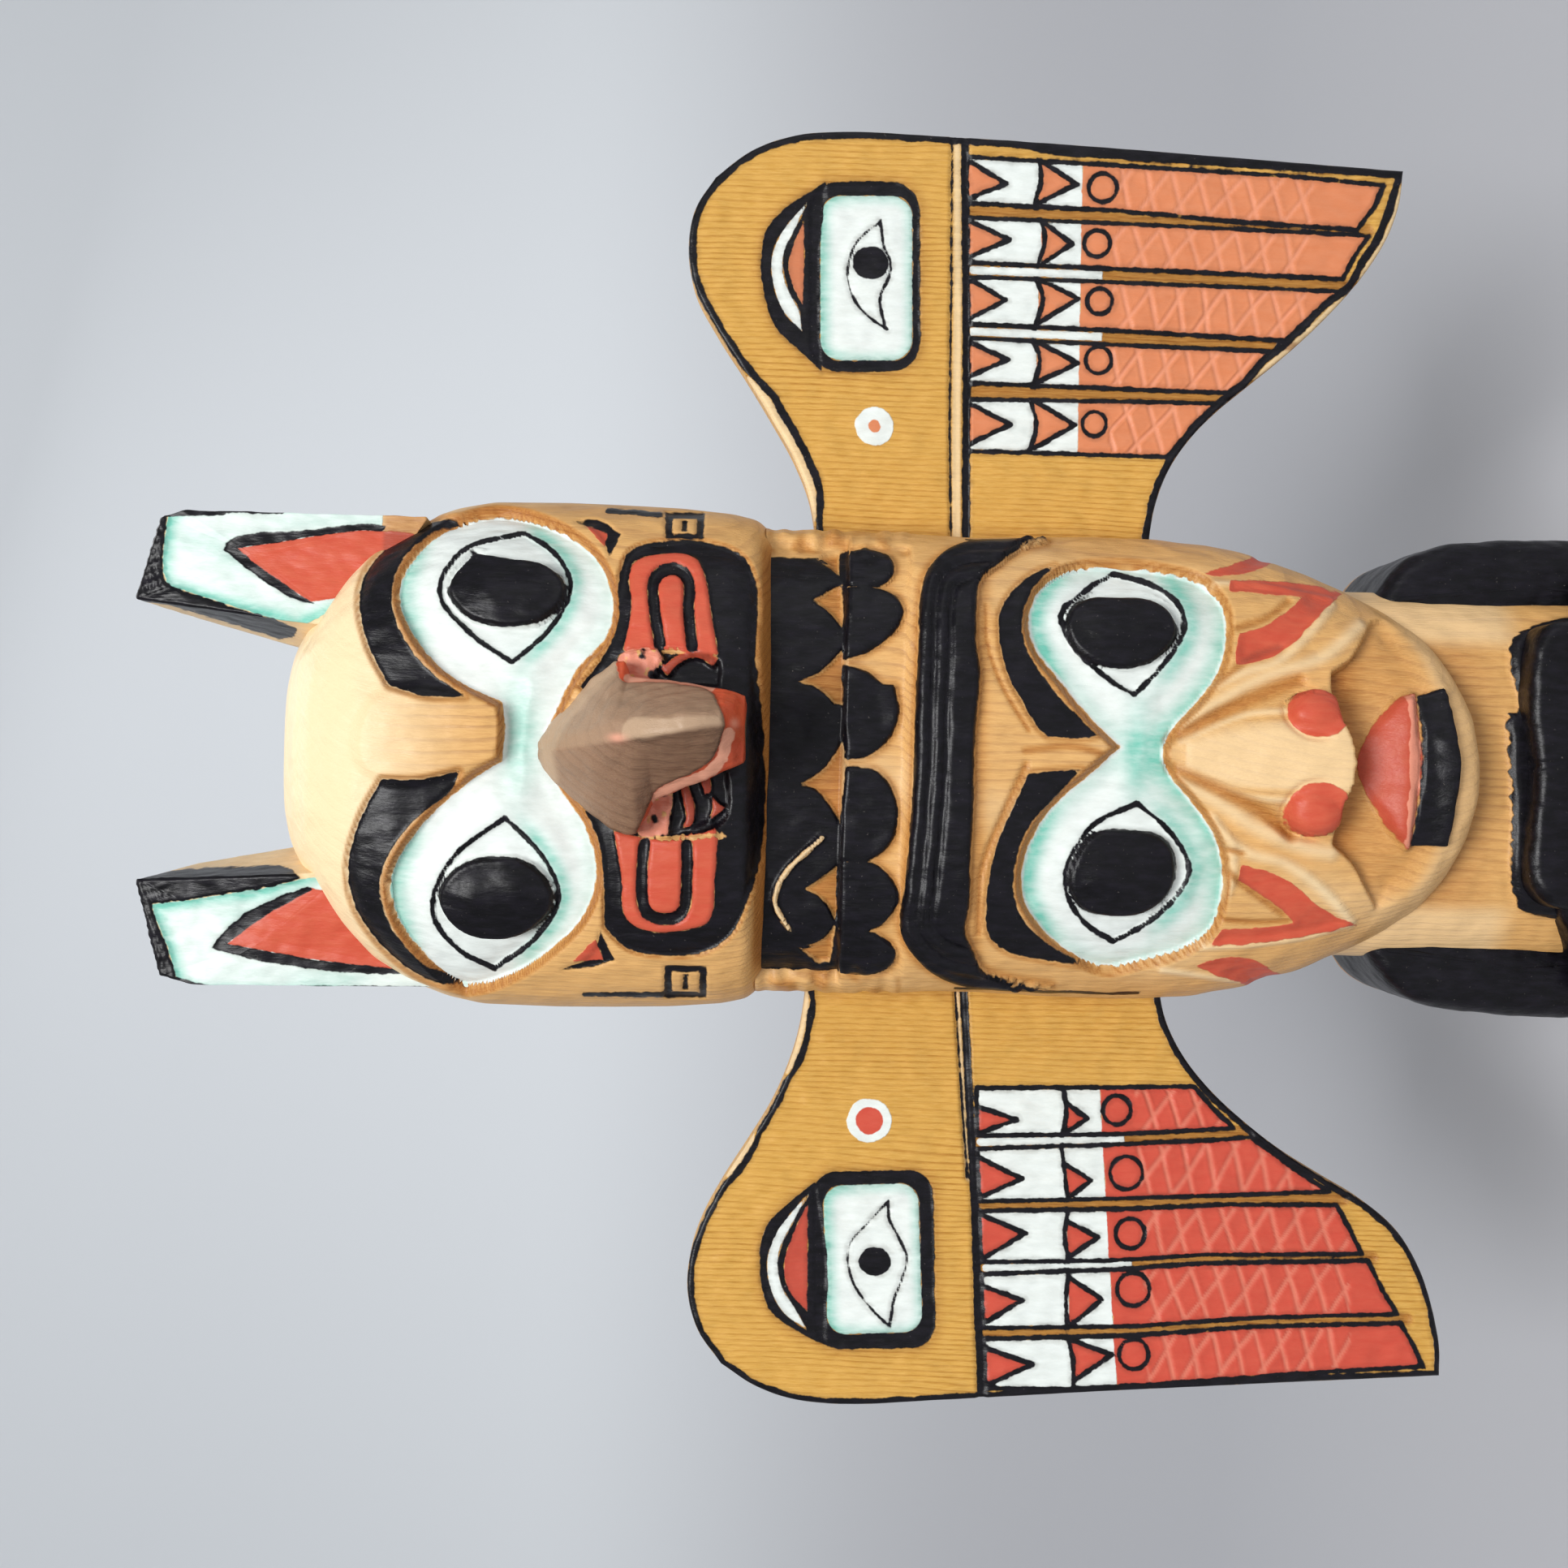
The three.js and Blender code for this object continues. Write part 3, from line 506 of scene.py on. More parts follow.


# Wood is rings round a heart line, a thin dark late band in each, bent by slow noise and broken
# into short streaks along Z. Over the wood lie paler wood and painted light, and stains and painted shade.
# Paint lies over it wherever its distance field is above zero.
def paintedWood(name, finish):
    material = bpy.data.materials.new(name)
    material.use_nodes = True
    n = Nodes(material.node_tree)
    shader = material.node_tree.nodes["Principled BSDF"]
    place = n.add("ShaderNodeTexCoord").outputs["Object"]
    mm = n.stretched(place, (1000, 1000, 1000))
    slow = n.noise(n.stretched(mm, (0.035, 0.035, 0.008)), 1.0, 3.0)
    wobble = n.noise(n.stretched(mm, (0.25, 0.25, 0.05)), 1.0, 2.0)
    split = n.add("ShaderNodeSeparateXYZ", {0: mm})
    dx = n.math("SUBTRACT", split.outputs[0], finish["heart"][0])
    dy = n.math("SUBTRACT", split.outputs[1], finish["heart"][1])
    radius = n.math("SQRT", n.math("ADD", n.math("MULTIPLY", dx, dx), n.math("MULTIPLY", dy, dy)))
    radius = n.math("ADD", radius, n.math("MULTIPLY", slow, 9.0))
    radius = n.math("ADD", radius, n.math("MULTIPLY", wobble, 0.7))
    ring = n.math("FRACT", n.math("DIVIDE", radius, finish["ringPitch"]))
    late = n.math("MULTIPLY", n.rangeOf(ring, 0.5, 0.86, smooth=True), n.rangeOf(ring, 0.93, 1.0, 1, 0))
    fibre = n.noise(n.stretched(mm, (5.0, 5.0, 0.35)), 1.0, 3.0, 0.6)
    patch = n.noise(n.stretched(mm, (0.06, 0.06, 0.03)), 1.0, 2.0)
    strength = n.rangeOf(patch, 0.35, 0.7, 0.25, 0.75)
    late = n.math("MULTIPLY", n.math("MULTIPLY", late, strength), n.rangeOf(fibre, 0.3, 0.6, 0.5, 1.0))
    wood = n.mix(n.rangeOf(fibre, 0.3, 0.75), colour(finish["early"]), colour(finish["streak"]))
    wood = n.mix(late, wood, colour(finish["late"]))
    # Paler wood and painted light: the wood is lifted towards the pale cream on lit tops, ridges, ledges and facets,
    # and where the wood is paler.
    wood = n.mix(n.math("MULTIPLY", n.attribute("paleAndLit"), 0.85), wood, colour(finish["paleAndLit"]))
    # Stains and painted shade: the wood is darkened in hollows, on carved walls, under overhangs and on facets turned
    # from the light, and where it is stained.
    stainAndShade = n.math("MULTIPLY", n.attribute("stainAndShade"), n.rangeOf(fibre, 0.25, 0.7, 0.7, 1.0))
    wood = n.mix(stainAndShade, wood, n.mix(0.75, wood, colour(finish["stainAndShade"]), "MULTIPLY"))

    hand = n.math("SUBTRACT", n.noise(mm, 0.55, 2.0, 0.6), 0.5)
    shake = n.math("MULTIPLY", hand, 0.7)
    brush = n.noise(n.stretched(mm, (0.8, 0.8, 0.25)), 1.0, 3.0, 0.6)

    def cover(key, grow=0.0, soft=0.09):
        field = n.math("ADD", n.math("ADD", n.attribute(key), shake), grow)
        return n.rangeOf(field, -soft, soft)

    mint = n.math("MULTIPLY", n.attribute("mint"), n.rangeOf(brush, 0.25, 0.7, 0.6, 1.1))
    whiteTone = n.mix(n.rangeOf(brush, 0.35, 0.75), colour(finish["white"]), colour(finish["whiteLow"]))
    whiteTone = n.mix(mint, whiteTone, colour(finish["mint"]))
    redTone = n.mix(n.rangeOf(brush, 0.3, 0.8, 0, 0.35), colour(finish["red"]), colour(finish["redLight"]))
    # The same amount darkens the red paint: painted shade on red in hollows, and dark red splinters.
    redTone = n.mix(n.math("MULTIPLY", stainAndShade, 0.75), redTone, colour(finish["redDark"]))
    flecks = n.rangeOf(n.noise(mm, 1.7, 3.0, 0.7), 0.68, 0.74)
    blackTone = n.mix(n.rangeOf(brush, 0.4, 0.8), colour(finish["black"]), colour(finish["blackLow"]))
    blackTone = n.mix(n.math("MULTIPLY", flecks, 0.55), blackTone, colour(finish["fleck"]))
    white, red, pink, black = cover("white"), cover("red", 0.1), cover("pink"), cover("black")
    painted = n.mix(white, wood, whiteTone)
    painted = n.mix(red, painted, redTone)
    painted = n.mix(pink, painted, colour(finish["pink"]))
    nearBlack = n.rangeOf(n.math("ADD", n.attribute("black"), shake), -0.9, 0.1)
    fringe = n.math("MULTIPLY", nearBlack, finish["fringe"])
    bleed = n.mix(0.8, painted, colour(finish["bleed"]), "MULTIPLY")
    painted = n.mix(n.math("MULTIPLY", fringe, n.rangeOf(brush, 0.3, 0.7)), painted, bleed)
    painted = n.mix(n.math("MULTIPLY", n.attribute("cut"), 0.35), painted, colour(finish["scratch"]))
    painted = n.mix(black, painted, blackTone)
    n.put(shader.inputs["Base Color"], painted)

    coat = n.math("MAXIMUM", n.math("MAXIMUM", white, red), black)
    rough = n.rangeOf(fibre, 0.3, 0.7, 0.36, 0.5)
    n.put(shader.inputs["Roughness"], n.math("ADD", rough, n.math("MULTIPLY", black, -0.06)))
    grain = n.math("ADD", fibre, n.math("MULTIPLY", late, -0.6))
    grain = n.math("MULTIPLY", grain, n.rangeOf(coat, 0, 1, 1.0, 0.35))
    knife = n.noise(n.stretched(mm, (0.22, 0.22, 0.16)), 1.0, 1.0)
    level = n.math("ADD", n.math("MULTIPLY", grain, 0.10), n.math("MULTIPLY", knife, 0.9))
    level = n.math("ADD", level, n.math("MULTIPLY", coat, 0.12))
    level = n.math("ADD", level, n.math("MULTIPLY", brush, 0.14))
    bump = n.add("ShaderNodeBump", {"Strength": 1.0, "Distance": 0.001, "Height": level})
    n.put(shader.inputs["Normal"], bump.outputs[0])
    shader.inputs["Specular IOR Level"].default_value = 0.24
    shader.inputs["Coat Weight"].default_value = 0.06
    shader.inputs["Coat Roughness"].default_value = 0.3
    return material


carvedWood = paintedWood("carved_wood", carvedFinish)
boardWoodRight = paintedWood("board_wood_right", dict(boardFinish, red="#D98357", redLight="#E39A74"))
boardWoodLeft = paintedWood("board_wood_left", dict(boardFinish, red="#CC4F3D", redLight="#D96A52"))
beakWood = paintedWood("beak_wood", beakFinish)
print("materials ready")

# Thunderbird's head.

birdHead = {
    "sheet": 8,
    "squareness": 2.5,
    "bottom": 190.6,
    "rowStep": 0.42,
    "stations": [  # height, half width, depth in front of the widest line, depth behind it
        (190.4, 39.5, 23.5, 22), (191.6, 40.6, 27.5, 23), (193.5, 42.4, 30.6, 23), (198, 43.4, 31.2, 23),
        (207, 44.2, 31, 23), (218, 44.6, 29.8, 23), (227, 44.8, 28.8, 23), (240, 44.6, 28.6, 23),
        (246, 43.4, 28.6, 23), (252, 41.2, 28.4, 23), (258, 37.8, 27.4, 23), (263, 33, 25.2, 23),
        (267.5, 27.5, 21.8, 23), (271.5, 23, 16.4, 22.5), (275, 18.6, 9.6, 21.5), (277.2, 13, 3.5, 18),
    ],
    "mask": [
        (4, 234.8), (-1.5, 235.2, 1), (-5, 240.4), (-10, 246), (-16, 250.8), (-22, 253.4),
        (-28, 252.4), (-35, 247),
        (-39.6, 240.6), (-37.3, 232.6), (-33, 226.5), (-27, 221), (-20, 219), (-12, 221.2), (-5, 226),
        (1, 228.3),
        (8, 226), (15, 222.5), (20, 218.2), (26, 217.4), (33, 220.6), (38, 227.6), (40, 237), (38, 244.2),
        (33, 250.4), (26.5, 253.2), (19, 250.4), (13, 244.8), (8.2, 235.4, 1),
    ],
    "brows": [
        [
            (-40.4, 240.2, 1), (-37.4, 249), (-32, 255.5), (-26, 259.5), (-20, 260.6), (-12, 258.8),
            (-5, 255.2, 1),
            (-4.9, 249), (-3.4, 242.4, 1), (-6, 243.2), (-11, 248.8), (-16.5, 253.2), (-23, 255.3),
            (-29, 253.5), (-35, 248.6),
        ],
        [
            (39.3, 242.2, 1), (38, 248.6), (34.5, 254.6), (29.5, 258.8), (24.5, 259.8), (17, 258),
            (10.6, 254.4, 1),
            (9, 248), (9.1, 241.6, 1), (13.5, 248), (19, 252.4), (25, 254.4), (31.5, 252.8), (36.5, 248),
        ],
    ],
    "eyes": [
        {
            "lids": [
                (-36.3, 235.7, 1), (-33, 242), (-27, 246.2), (-18.5, 243.5), (-11, 234.5, 1),
                (-17, 228.3), (-24, 225.2), (-31, 229),
            ],
            "pupil": [
                (-32, 235), (-30.5, 242), (-25, 245.6), (-19.5, 242.5), (-17.5, 235), (-19, 229.4),
                (-24.5, 226), (-30, 229.4),
            ],
        },
        {
            "lids": [
                (15, 234, 1), (20, 241.4), (26.5, 246.4), (33.5, 242.6), (36.7, 232.4, 1),
                (33.5, 227.4), (28.5, 224.5), (21, 227.6),
            ],
            "pupil": [
                (21, 235), (22.6, 242), (27.5, 245.2), (33.8, 241, 1), (33, 235), (31.8, 228.4),
                (27.6, 225.2), (22.6, 228.4),
            ],
        },
    ],
    "ridge": [(-3.6, 258), (8, 257), (8.2, 235, 1), (-1.2, 235, 1)],
    "mouthSheet": 4,
    "panel": [
        (-9.5, 220.6, 1), (-14, 218.4), (-20.5, 217.3), (-28.5, 217, 1), (-32, 213), (-33, 206),
        (-32.2, 200.4), (-29.5, 196.4),
        (-24, 193.6), (-17, 191.6), (-8, 191), (6, 191.7), (18, 193.2), (28, 193.2), (33, 195.6),
        (35.2, 201),
        (35.3, 208), (33.6, 214.2), (28.5, 216), (21.5, 216), (16.5, 218), (11, 222, 1), (4, 216),
        (-4, 216),
    ],
    "lips": [
        [
            (-12.6, 215.8, 1), (-20, 214.4), (-27.4, 213.2), (-29.2, 209), (-28.6, 203),
            (-27.2, 199.9), (-21, 199), (-13.2, 198.7, 1),
            (-10.2, 199.6, 1), (-12, 203.2), (-13.8, 206.2), (-13.8, 210),
        ],
        [
            (17, 215, 1), (24, 213.8), (31.6, 213.7), (33.4, 209), (32.9, 203.6), (30, 202),
            (23, 200.6), (17, 199.4, 1), (16.2, 201),
            (17, 204), (17.6, 208), (17.4, 212),
        ],
    ],
    "gapZones": [
        [(-13.6, 208, 1), (-3, 208, 1), (-2, 197.4, 1), (-10, 197.4), (-12.6, 201), (-13.4, 205)],
        [(11.8, 211, 1), (17.2, 211, 1), (17.2, 204), (16, 199.4), (11.6, 199, 1)],
    ],
    "gapBlocks": [
        [
            (-13.5, 211.4, 1), (-12.4, 212), (-6, 210.6, 1), (-3.5, 206.4, 1), (-7, 206.2),
            (-10, 206.6), (-13.1, 206.9, 1),
        ],
        [
            (11, 214.8, 1), (13, 215.7), (15.6, 215.9), (16.8, 215), (17.5, 212), (17.5, 209.4),
            (16.2, 208.5), (14, 209.6), (11, 210.6, 1),
        ],
    ],
    "splinters": [
        [
            (-11.8, 204.5, 1), (-10, 203.9), (-7.5, 204.5), (-5, 205, 1), (-4.6, 204, 1),
            (-6.4, 203.2), (-8.5, 202.6), (-11.5, 203.2),
        ],
        [(-6.4, 200.9, 1), (-3.4, 201.9, 1), (-3.2, 200.3, 1), (-5.8, 200.1)],
        [
            (-10.4, 200.1, 1), (-8.6, 199.6), (-6.3, 199.9, 1), (-7.5, 198.9), (-8.4, 197.3, 1),
            (-9.4, 198.8),
        ],
        [
            (13.2, 207.6, 1), (14.4, 208.8, 1), (16.6, 206), (17.4, 203.6, 1), (17, 201.2),
            (16, 199.4, 1), (14.9, 200.2, 1), (16, 201.8), (16.3, 203.6), (15, 206),
        ],
    ],
    "rawEnds": [[
        (-13.5, 210), (-13.7, 206), (-13.3, 202.6), (-12.9, 198),
    ], [(17.3, 208), (17.2, 204), (16.4, 200)]],
    "bars": [
        [(-14.6, 210.7), (-20, 211), (-26, 210), (-27, 207), (-26, 204.4), (-20, 203.6), (-14.6, 203.7)],
        [(18.4, 209), (24, 210), (29.5, 209.9), (30.9, 207), (29.6, 204.9), (24, 204.4), (18.2, 203.7)],
    ],
    "barWidth": 1.9,
    "squares": [(-37.2, 203.4, 2.6, 3.5), (37.9, 205.4, 2.2, 3.2)],
    "darts": [
        [
            (-35.6, 223.8, 1), (-35.2, 219.4), (-33.8, 215.2, 1), (-29, 217.7, 1), (-31.6, 218.2),
            (-33.6, 219.6),
        ],
        [
            (38.2, 223.4, 1), (38.5, 219.6), (36.2, 215.9, 1), (32.4, 217.6, 1), (34.8, 218.6),
            (36.9, 220.4),
        ],
    ],
    "dartReds": [
        [(-34.3, 222, 1), (-33.8, 217, 1), (-30.6, 218.4, 1)],
        [(37.6, 221.6, 1), (36.2, 218, 1), (34.2, 218.5, 1)],
    ],
    "maskDepth": 2.3,
    "browDepth": 0.8,
    "panelDepth": 0.9,
    "lipRise": 0.7,
}


# Height and paint of the bird's head: each carved shape sinks or lifts the wood by a soft step
# of its distance field, and the same fields, joined and cut, are the paint.
def carveBirdHead(sheet, points, front):
    b = birdHead
    sx, sz = sheet
    z = points[..., 2]
    mouthSheet = shifted(sheet, b["sheet"], b["mouthSheet"])
    mask = within(sheet, smoothRing(b["mask"]))
    brow = withinAny(sheet, b["brows"])
    ridge = within(sheet, smoothRing(b["ridge"]))
    height = -b["browDepth"] * ease(brow, -0.9, 0.2)
    height = height - b["maskDepth"] * ease(mask, -1.3, 0.15) * (1 - 0.35 * ease(mask, 2, 7))
    height = height + 0.9 * ease(ridge, -1.4, 0.6) * ease(sz, 228, 240)
    pupil = np.full(sx.shape, far)
    lidLine = np.full(sx.shape, far)
    sclera = np.full(sx.shape, far)
    for shape in b["eyes"]:
        lids = within(sheet, smoothRing(shape["lids"]))
        disc = within(sheet, smoothRing(shape["pupil"]))
        pupil = union(pupil, disc)
        sclera = union(sclera, lids)
        lidLine = union(lidLine, 0.42 - np.abs(lids))
    height = height - 0.7 * ease(sclera, -0.15, 0.45)
    height = height + 2.1 * ease(pupil, -0.35, 0.7) + 0.9 * ease(pupil, 0.3, 6)
    panel = within(mouthSheet, smoothRing(b["panel"]))
    lips = withinAny(mouthSheet, b["lips"])
    bars = union(*[stroke(mouthSheet, smoothRing(r, closed=False), b["barWidth"]) for r in b["bars"]])
    height = height - b["panelDepth"] * ease(panel, -0.6, 0.5)
    height = height + b["lipRise"] * ease(lips, -0.3, 0.35) - 0.9 * ease(bars, -0.25, 0.35)
    mx, mz = mouthSheet
    zones = withinAny(mouthSheet, b["gapZones"])
    blocks = withinAny(mouthSheet, b["gapBlocks"])
    splinters = withinAny(mouthSheet, b["splinters"])
    raw = union(*[stroke(mouthSheet, np.array(line), 0.9) for line in b["rawEnds"]])
    raw = raw + 0.35 * wander(mx, mz, 1.3, 4)
    torn = common(zones, -blocks, -splinters)
    height = height - 1.5 * ease(torn, -0.2, 0.4) - 0.35 * ease(splinters, -0.2, 0.3)
    height = height + 0.3 * wander(mx, mz, 2.1, 6) * ease(blocks, -0.3, 0.5)
    darts = withinAny(mouthSheet, b["darts"])
    dartRed = withinAny(mouthSheet, b["dartReds"])
    height = height - 0.5 * ease(darts, -0.4, 0.4)
    squares = np.full(sx.shape, far)
    for cx, cz, halfX, halfZ in b["squares"]:
        box = common(halfX - np.abs(mx - cx), halfZ - np.abs(mz - cz))
        inner = common(halfX - 0.9 - np.abs(mx - cx), halfZ - 1.2 - np.abs(mz - cz))
        bar = common(halfX - 1.4 - np.abs(mx - cx), 0.45 - np.abs(mz - cz))
        squares = union(squares, common(box, -inner), bar)
    height = height - 0.45 * ease(squares, -0.25, 0.25)
    side = union(
        common(stroke(mouthSheet, np.array([(-39.7, 220), (-39.3, 207)]), 0.9), 39.9 - np.abs(mouthSheet[0])),
        stroke(mouthSheet, np.array([(40, 218), (39.6, 209.5)]), 0.9),
    )
    panelBlack = common(union(common(panel, -lips), torn), -blocks, -splinters, -raw)
    dab = common(blocks, 0.55 * wander(mx, mz, 3.4, 5) - 0.28, 213.6 - mz)
    black = union(brow, pupil, panelBlack, dab, bars, common(darts, -dartRed), squares, side, lidLine)
    edge = ease(-mask, -4.5, -0.2) * ease(mask, -0.3, 0.1)
    mint = 0.85 * edge * ease(sz, 246, 251)
    mint = mint + 0.6 * edge * (1 - ease(sz, 218, 230)) * 0.4
    bridge = np.exp(-(((sx - 3) / 9) ** 2) - ((sz - 232.5) / 3.2) ** 2)
    mint = np.clip(mint + 0.75 * bridge * ease(mask, 0, 1), 0, 1)
    under = np.zeros(sx.shape)
    for shape in b["eyes"]:
        lids = within(sheet, smoothRing(shape["lids"]))
        under = np.maximum(under, np.exp(-(((lids + 1.0) / 1.3) ** 2)) * (1 - ease(sz, 229, 234)))
    mint = np.clip(mint + 0.8 * under, 0, 1)
    # Stains and painted shade: painted shade on the carved walls round the mask, brows and mouth panel and on the
    # chin's underside strip; darker splinters in the torn gaps, and the blocks beside the beak darker in patches.
    stainAndShade = 0.9 * ease(mask, -1.6, -0.9) * (1 - ease(mask, -0.25, 0.1))
    stainAndShade = np.maximum(stainAndShade, 0.6 * ease(brow, -1.2, -0.5) * (1 - ease(brow, -0.2, 0.1)))
    stainAndShade = np.maximum(stainAndShade, 0.7 * ease(panel, -0.8, -0.3) * (1 - ease(panel, -0.1, 0.1)))
    stainAndShade = np.maximum(stainAndShade, 0.85 * ease(-mz, -193.2, -192) * ease(-np.abs(mx), -37, -33))
    stainAndShade = np.maximum(stainAndShade, 0.95 * ease(splinters, -0.1, 0.2))
    stainAndShade = np.maximum(stainAndShade, 0.5 * ease(blocks, 0, 0.4) * ease(wander(mx, mz, 2.4, 9), 0, 0.5))
    # Painted light, with some paler wood: the wood pales towards the top of the head, where the light falls.
    paleAndLit = ease(z, 236, 262) * 0.95 + 0.25
    paint = {
        "white": common(mask, -pupil + 0.3), "mint": mint,
        "red": union(common(lips, -bars, -raw), dartRed, splinters),
        "pink": common(blocks, 0.5 + 0.9 * wander(mx, mz, 2.6, 1)), "black": black,
        "paleAndLit": paleAndLit * (1 - stainAndShade), "stainAndShade": stainAndShade,
    }
    return height, paint


# Rows of the skin from the chin up, carved, and closed at both ends.
def makeBirdHead():
    b = birdHead
    z = np.arange(b["bottom"], b["stations"][-1][0], b["rowStep"])
    points, columns = skin(b["stations"], z, b["squareness"])
    moved, paint = carvedSkin(points, columns, carveBirdHead, b["sheet"])
    closedLoft("thunderbird_head", moved, paint, carvedWood)


makeBirdHead()


# Wings.

board = {
    "front": 1.0, "thickness": 5.3, "spacing": 0.37, "rounding": 0.75,
    "width": 76, "height": 120,  # roughly, to count the grid's lines
    "stripWidth": 2.6, "paintLine": 0.95, "lineHalf": 0.45, "ringHalf": 0.42,
}

rightWing = {
    "side": 1,  # -1 stands for the left
    "top": [
        (34.4, 183.4), (41.5, 183.5), (48, 184.7), (55, 187.6), (62, 191.7), (70, 196.8), (78, 202.2),
        (86, 206.6), (93, 207.8), (100, 206.8), (106, 203.2),
    ],
    "outer": [
        (110.2, 78), (112, 110), (113.6, 140), (114.6, 165), (114.9, 180), (114, 188.8), (111, 196.8),
        (106, 203.2),
    ],
    "bottom": [
        (34.4, 122.8), (41.5, 122.6), (48, 121.7), (55, 119.2), (61, 115.2), (66, 110.4), (71, 104.6),
        (77, 97.6),
        (84, 90.6), (91, 84.8), (98, 80.6), (104, 78.6), (110.2, 78),
    ],
    "edgeLine": 1.5,
    "bareEdge": [((57, 189.5), 17, 1.5), ((78, 95), 14, 1.0), ((98, 80.5), 12, 0.9)],
    "outerLine": 2.4,
    "divider": [(38, 155.9), (50, 156.2), (70, 156.6), (90, 157.2), (113.5, 158)],
    "dividerWidth": 1.5,
    "dividerGroove": [(38, 158.6), (60, 159.4), (85, 159.8), (114, 160.3)],
    "dividerPale": [(38, 157.6), (60, 158.2), (85, 158.6), (114, 159.3)],
    "feathers": [
        [(57.2, 156), (66.6, 156.3), (66.9, 130), (67, 109.8), (61.5, 115.6), (57, 119.8)],
        [
            (69.6, 156.5), (77.8, 156.7), (77.2, 130), (76.6, 95.6), (72, 101.2), (68.9, 106.2),
            (69.2, 130),
        ],
        [(80.3, 156.8), (88.9, 157), (88.5, 125), (87.9, 88.3), (83, 92), (78.6, 96.2), (79.8, 130)],
        [(91.5, 157), (99.7, 157.2), (99.2, 125), (98.2, 84), (94.5, 86.5), (90.2, 88.6), (90.9, 125)],
        [
            (102.3, 157.4), (110.7, 157.8), (109.8, 130), (108.7, 100), (107.4, 81.6), (103.5, 83.2),
            (99.2, 86.3), (100.2, 110), (101.6, 130),
        ],
    ],
    "strips": [
        [(68.1, 156), (68, 130), (67.9, 108)], [(79, 156), (78.6, 130), (77.6, 96.5)],
        [(90.2, 156), (89.7, 125), (88.9, 87)], [(101, 156.5), (100.5, 125), (99, 84.5)],
    ],
    "lightStrips": [1, 2],
    "rowLine": [
        (57.2, 144.9), (62, 143.7), (67.2, 144.8), (69.3, 144.4), (74, 143.4), (78, 144.6),
        (80, 144.4), (85, 143.1),
        (90, 144.5), (92, 143.9), (96, 143), (100, 144), (102, 145), (106.5, 144), (111, 144.4),
    ],
    "paintEdge": [(55, 136), (112, 136.4)],
    "teeth": [
        [(58.3, 156), (62.2, 148.4), (66, 156.3)], [(70.6, 156.5), (74, 149.2), (77.2, 156.7)],
        [(81, 156.8), (84.8, 149.9), (88.7, 157)], [(92.3, 157), (95.8, 149.4), (99.2, 157.1)],
        [(102.9, 157.3), (106, 150.3), (110.2, 157.7)],
        [(58, 144), (62.4, 136.6), (66.6, 144.2)], [(70, 143.8), (73.6, 136.4), (77.4, 144)],
        [(80.9, 143.6), (85.4, 136.6), (88.8, 144)], [(91.6, 143.4), (95.3, 138), (99.3, 143.6)],
        [(102.6, 144.4), (106.2, 137.4), (110.2, 144)],
    ],
    "rings": [
        (62.7, 133.2, 2.4), (74.3, 132.7, 2.6), (85, 132.8, 2.55), (95.5, 133.5, 2.6),
        (105.7, 132.7, 2.8),
    ],
    "hatch": {
        "bottom": [(57, 119), (67, 112), (69, 96), (112, 94)],
        "top": [(55, 130.4), (112, 130.8)], "rise": 14, "fall": -38, "pitch": 4.4,
    },
    "box": {"at": (88.4, 175.6), "half": (17.3, 10.1), "corner": 5.5, "tilt": 1.6},
    "field": {"at": (88.2, 175.3), "half": (15, 8.4), "corner": 3.8, "tilt": 1.4},
    "lidTop": [(79, 171.3), (82, 175.6), (86, 178.2), (91, 178.6), (95, 177), (98.4, 173.2)],
    "lidBottom": [(79.8, 171.8), (85, 172.7), (88, 171.4), (91, 170.9), (94, 172.2), (98.8, 173)],
    "pupil": (91, 174.6, 3.0, 3.3),
    "cap": [
        (71, 183, 1), (74.5, 187), (79.5, 192), (85, 193.9), (91, 194.6), (97, 193.4), (101.5, 189.2),
        (105.5, 183, 1), (88, 184),
    ],
    "crescent": [
        (78.3, 186.8, 1), (81.5, 190), (86, 192), (91.5, 192.6), (96, 191), (99.5, 188.4),
        (102, 186.2, 1), (97.5, 188.2), (91.5, 190.6), (86, 189.6), (82, 187.4),
    ],
    "sliver": [(83, 186.7, 1), (86.5, 188.6), (90.2, 189.5), (94, 188.7), (98.3, 186.9, 1), (90, 186.7)],
    "dot": (61.3, 173.2, 3.5, 1.05),
    "seed": 1.3,
}

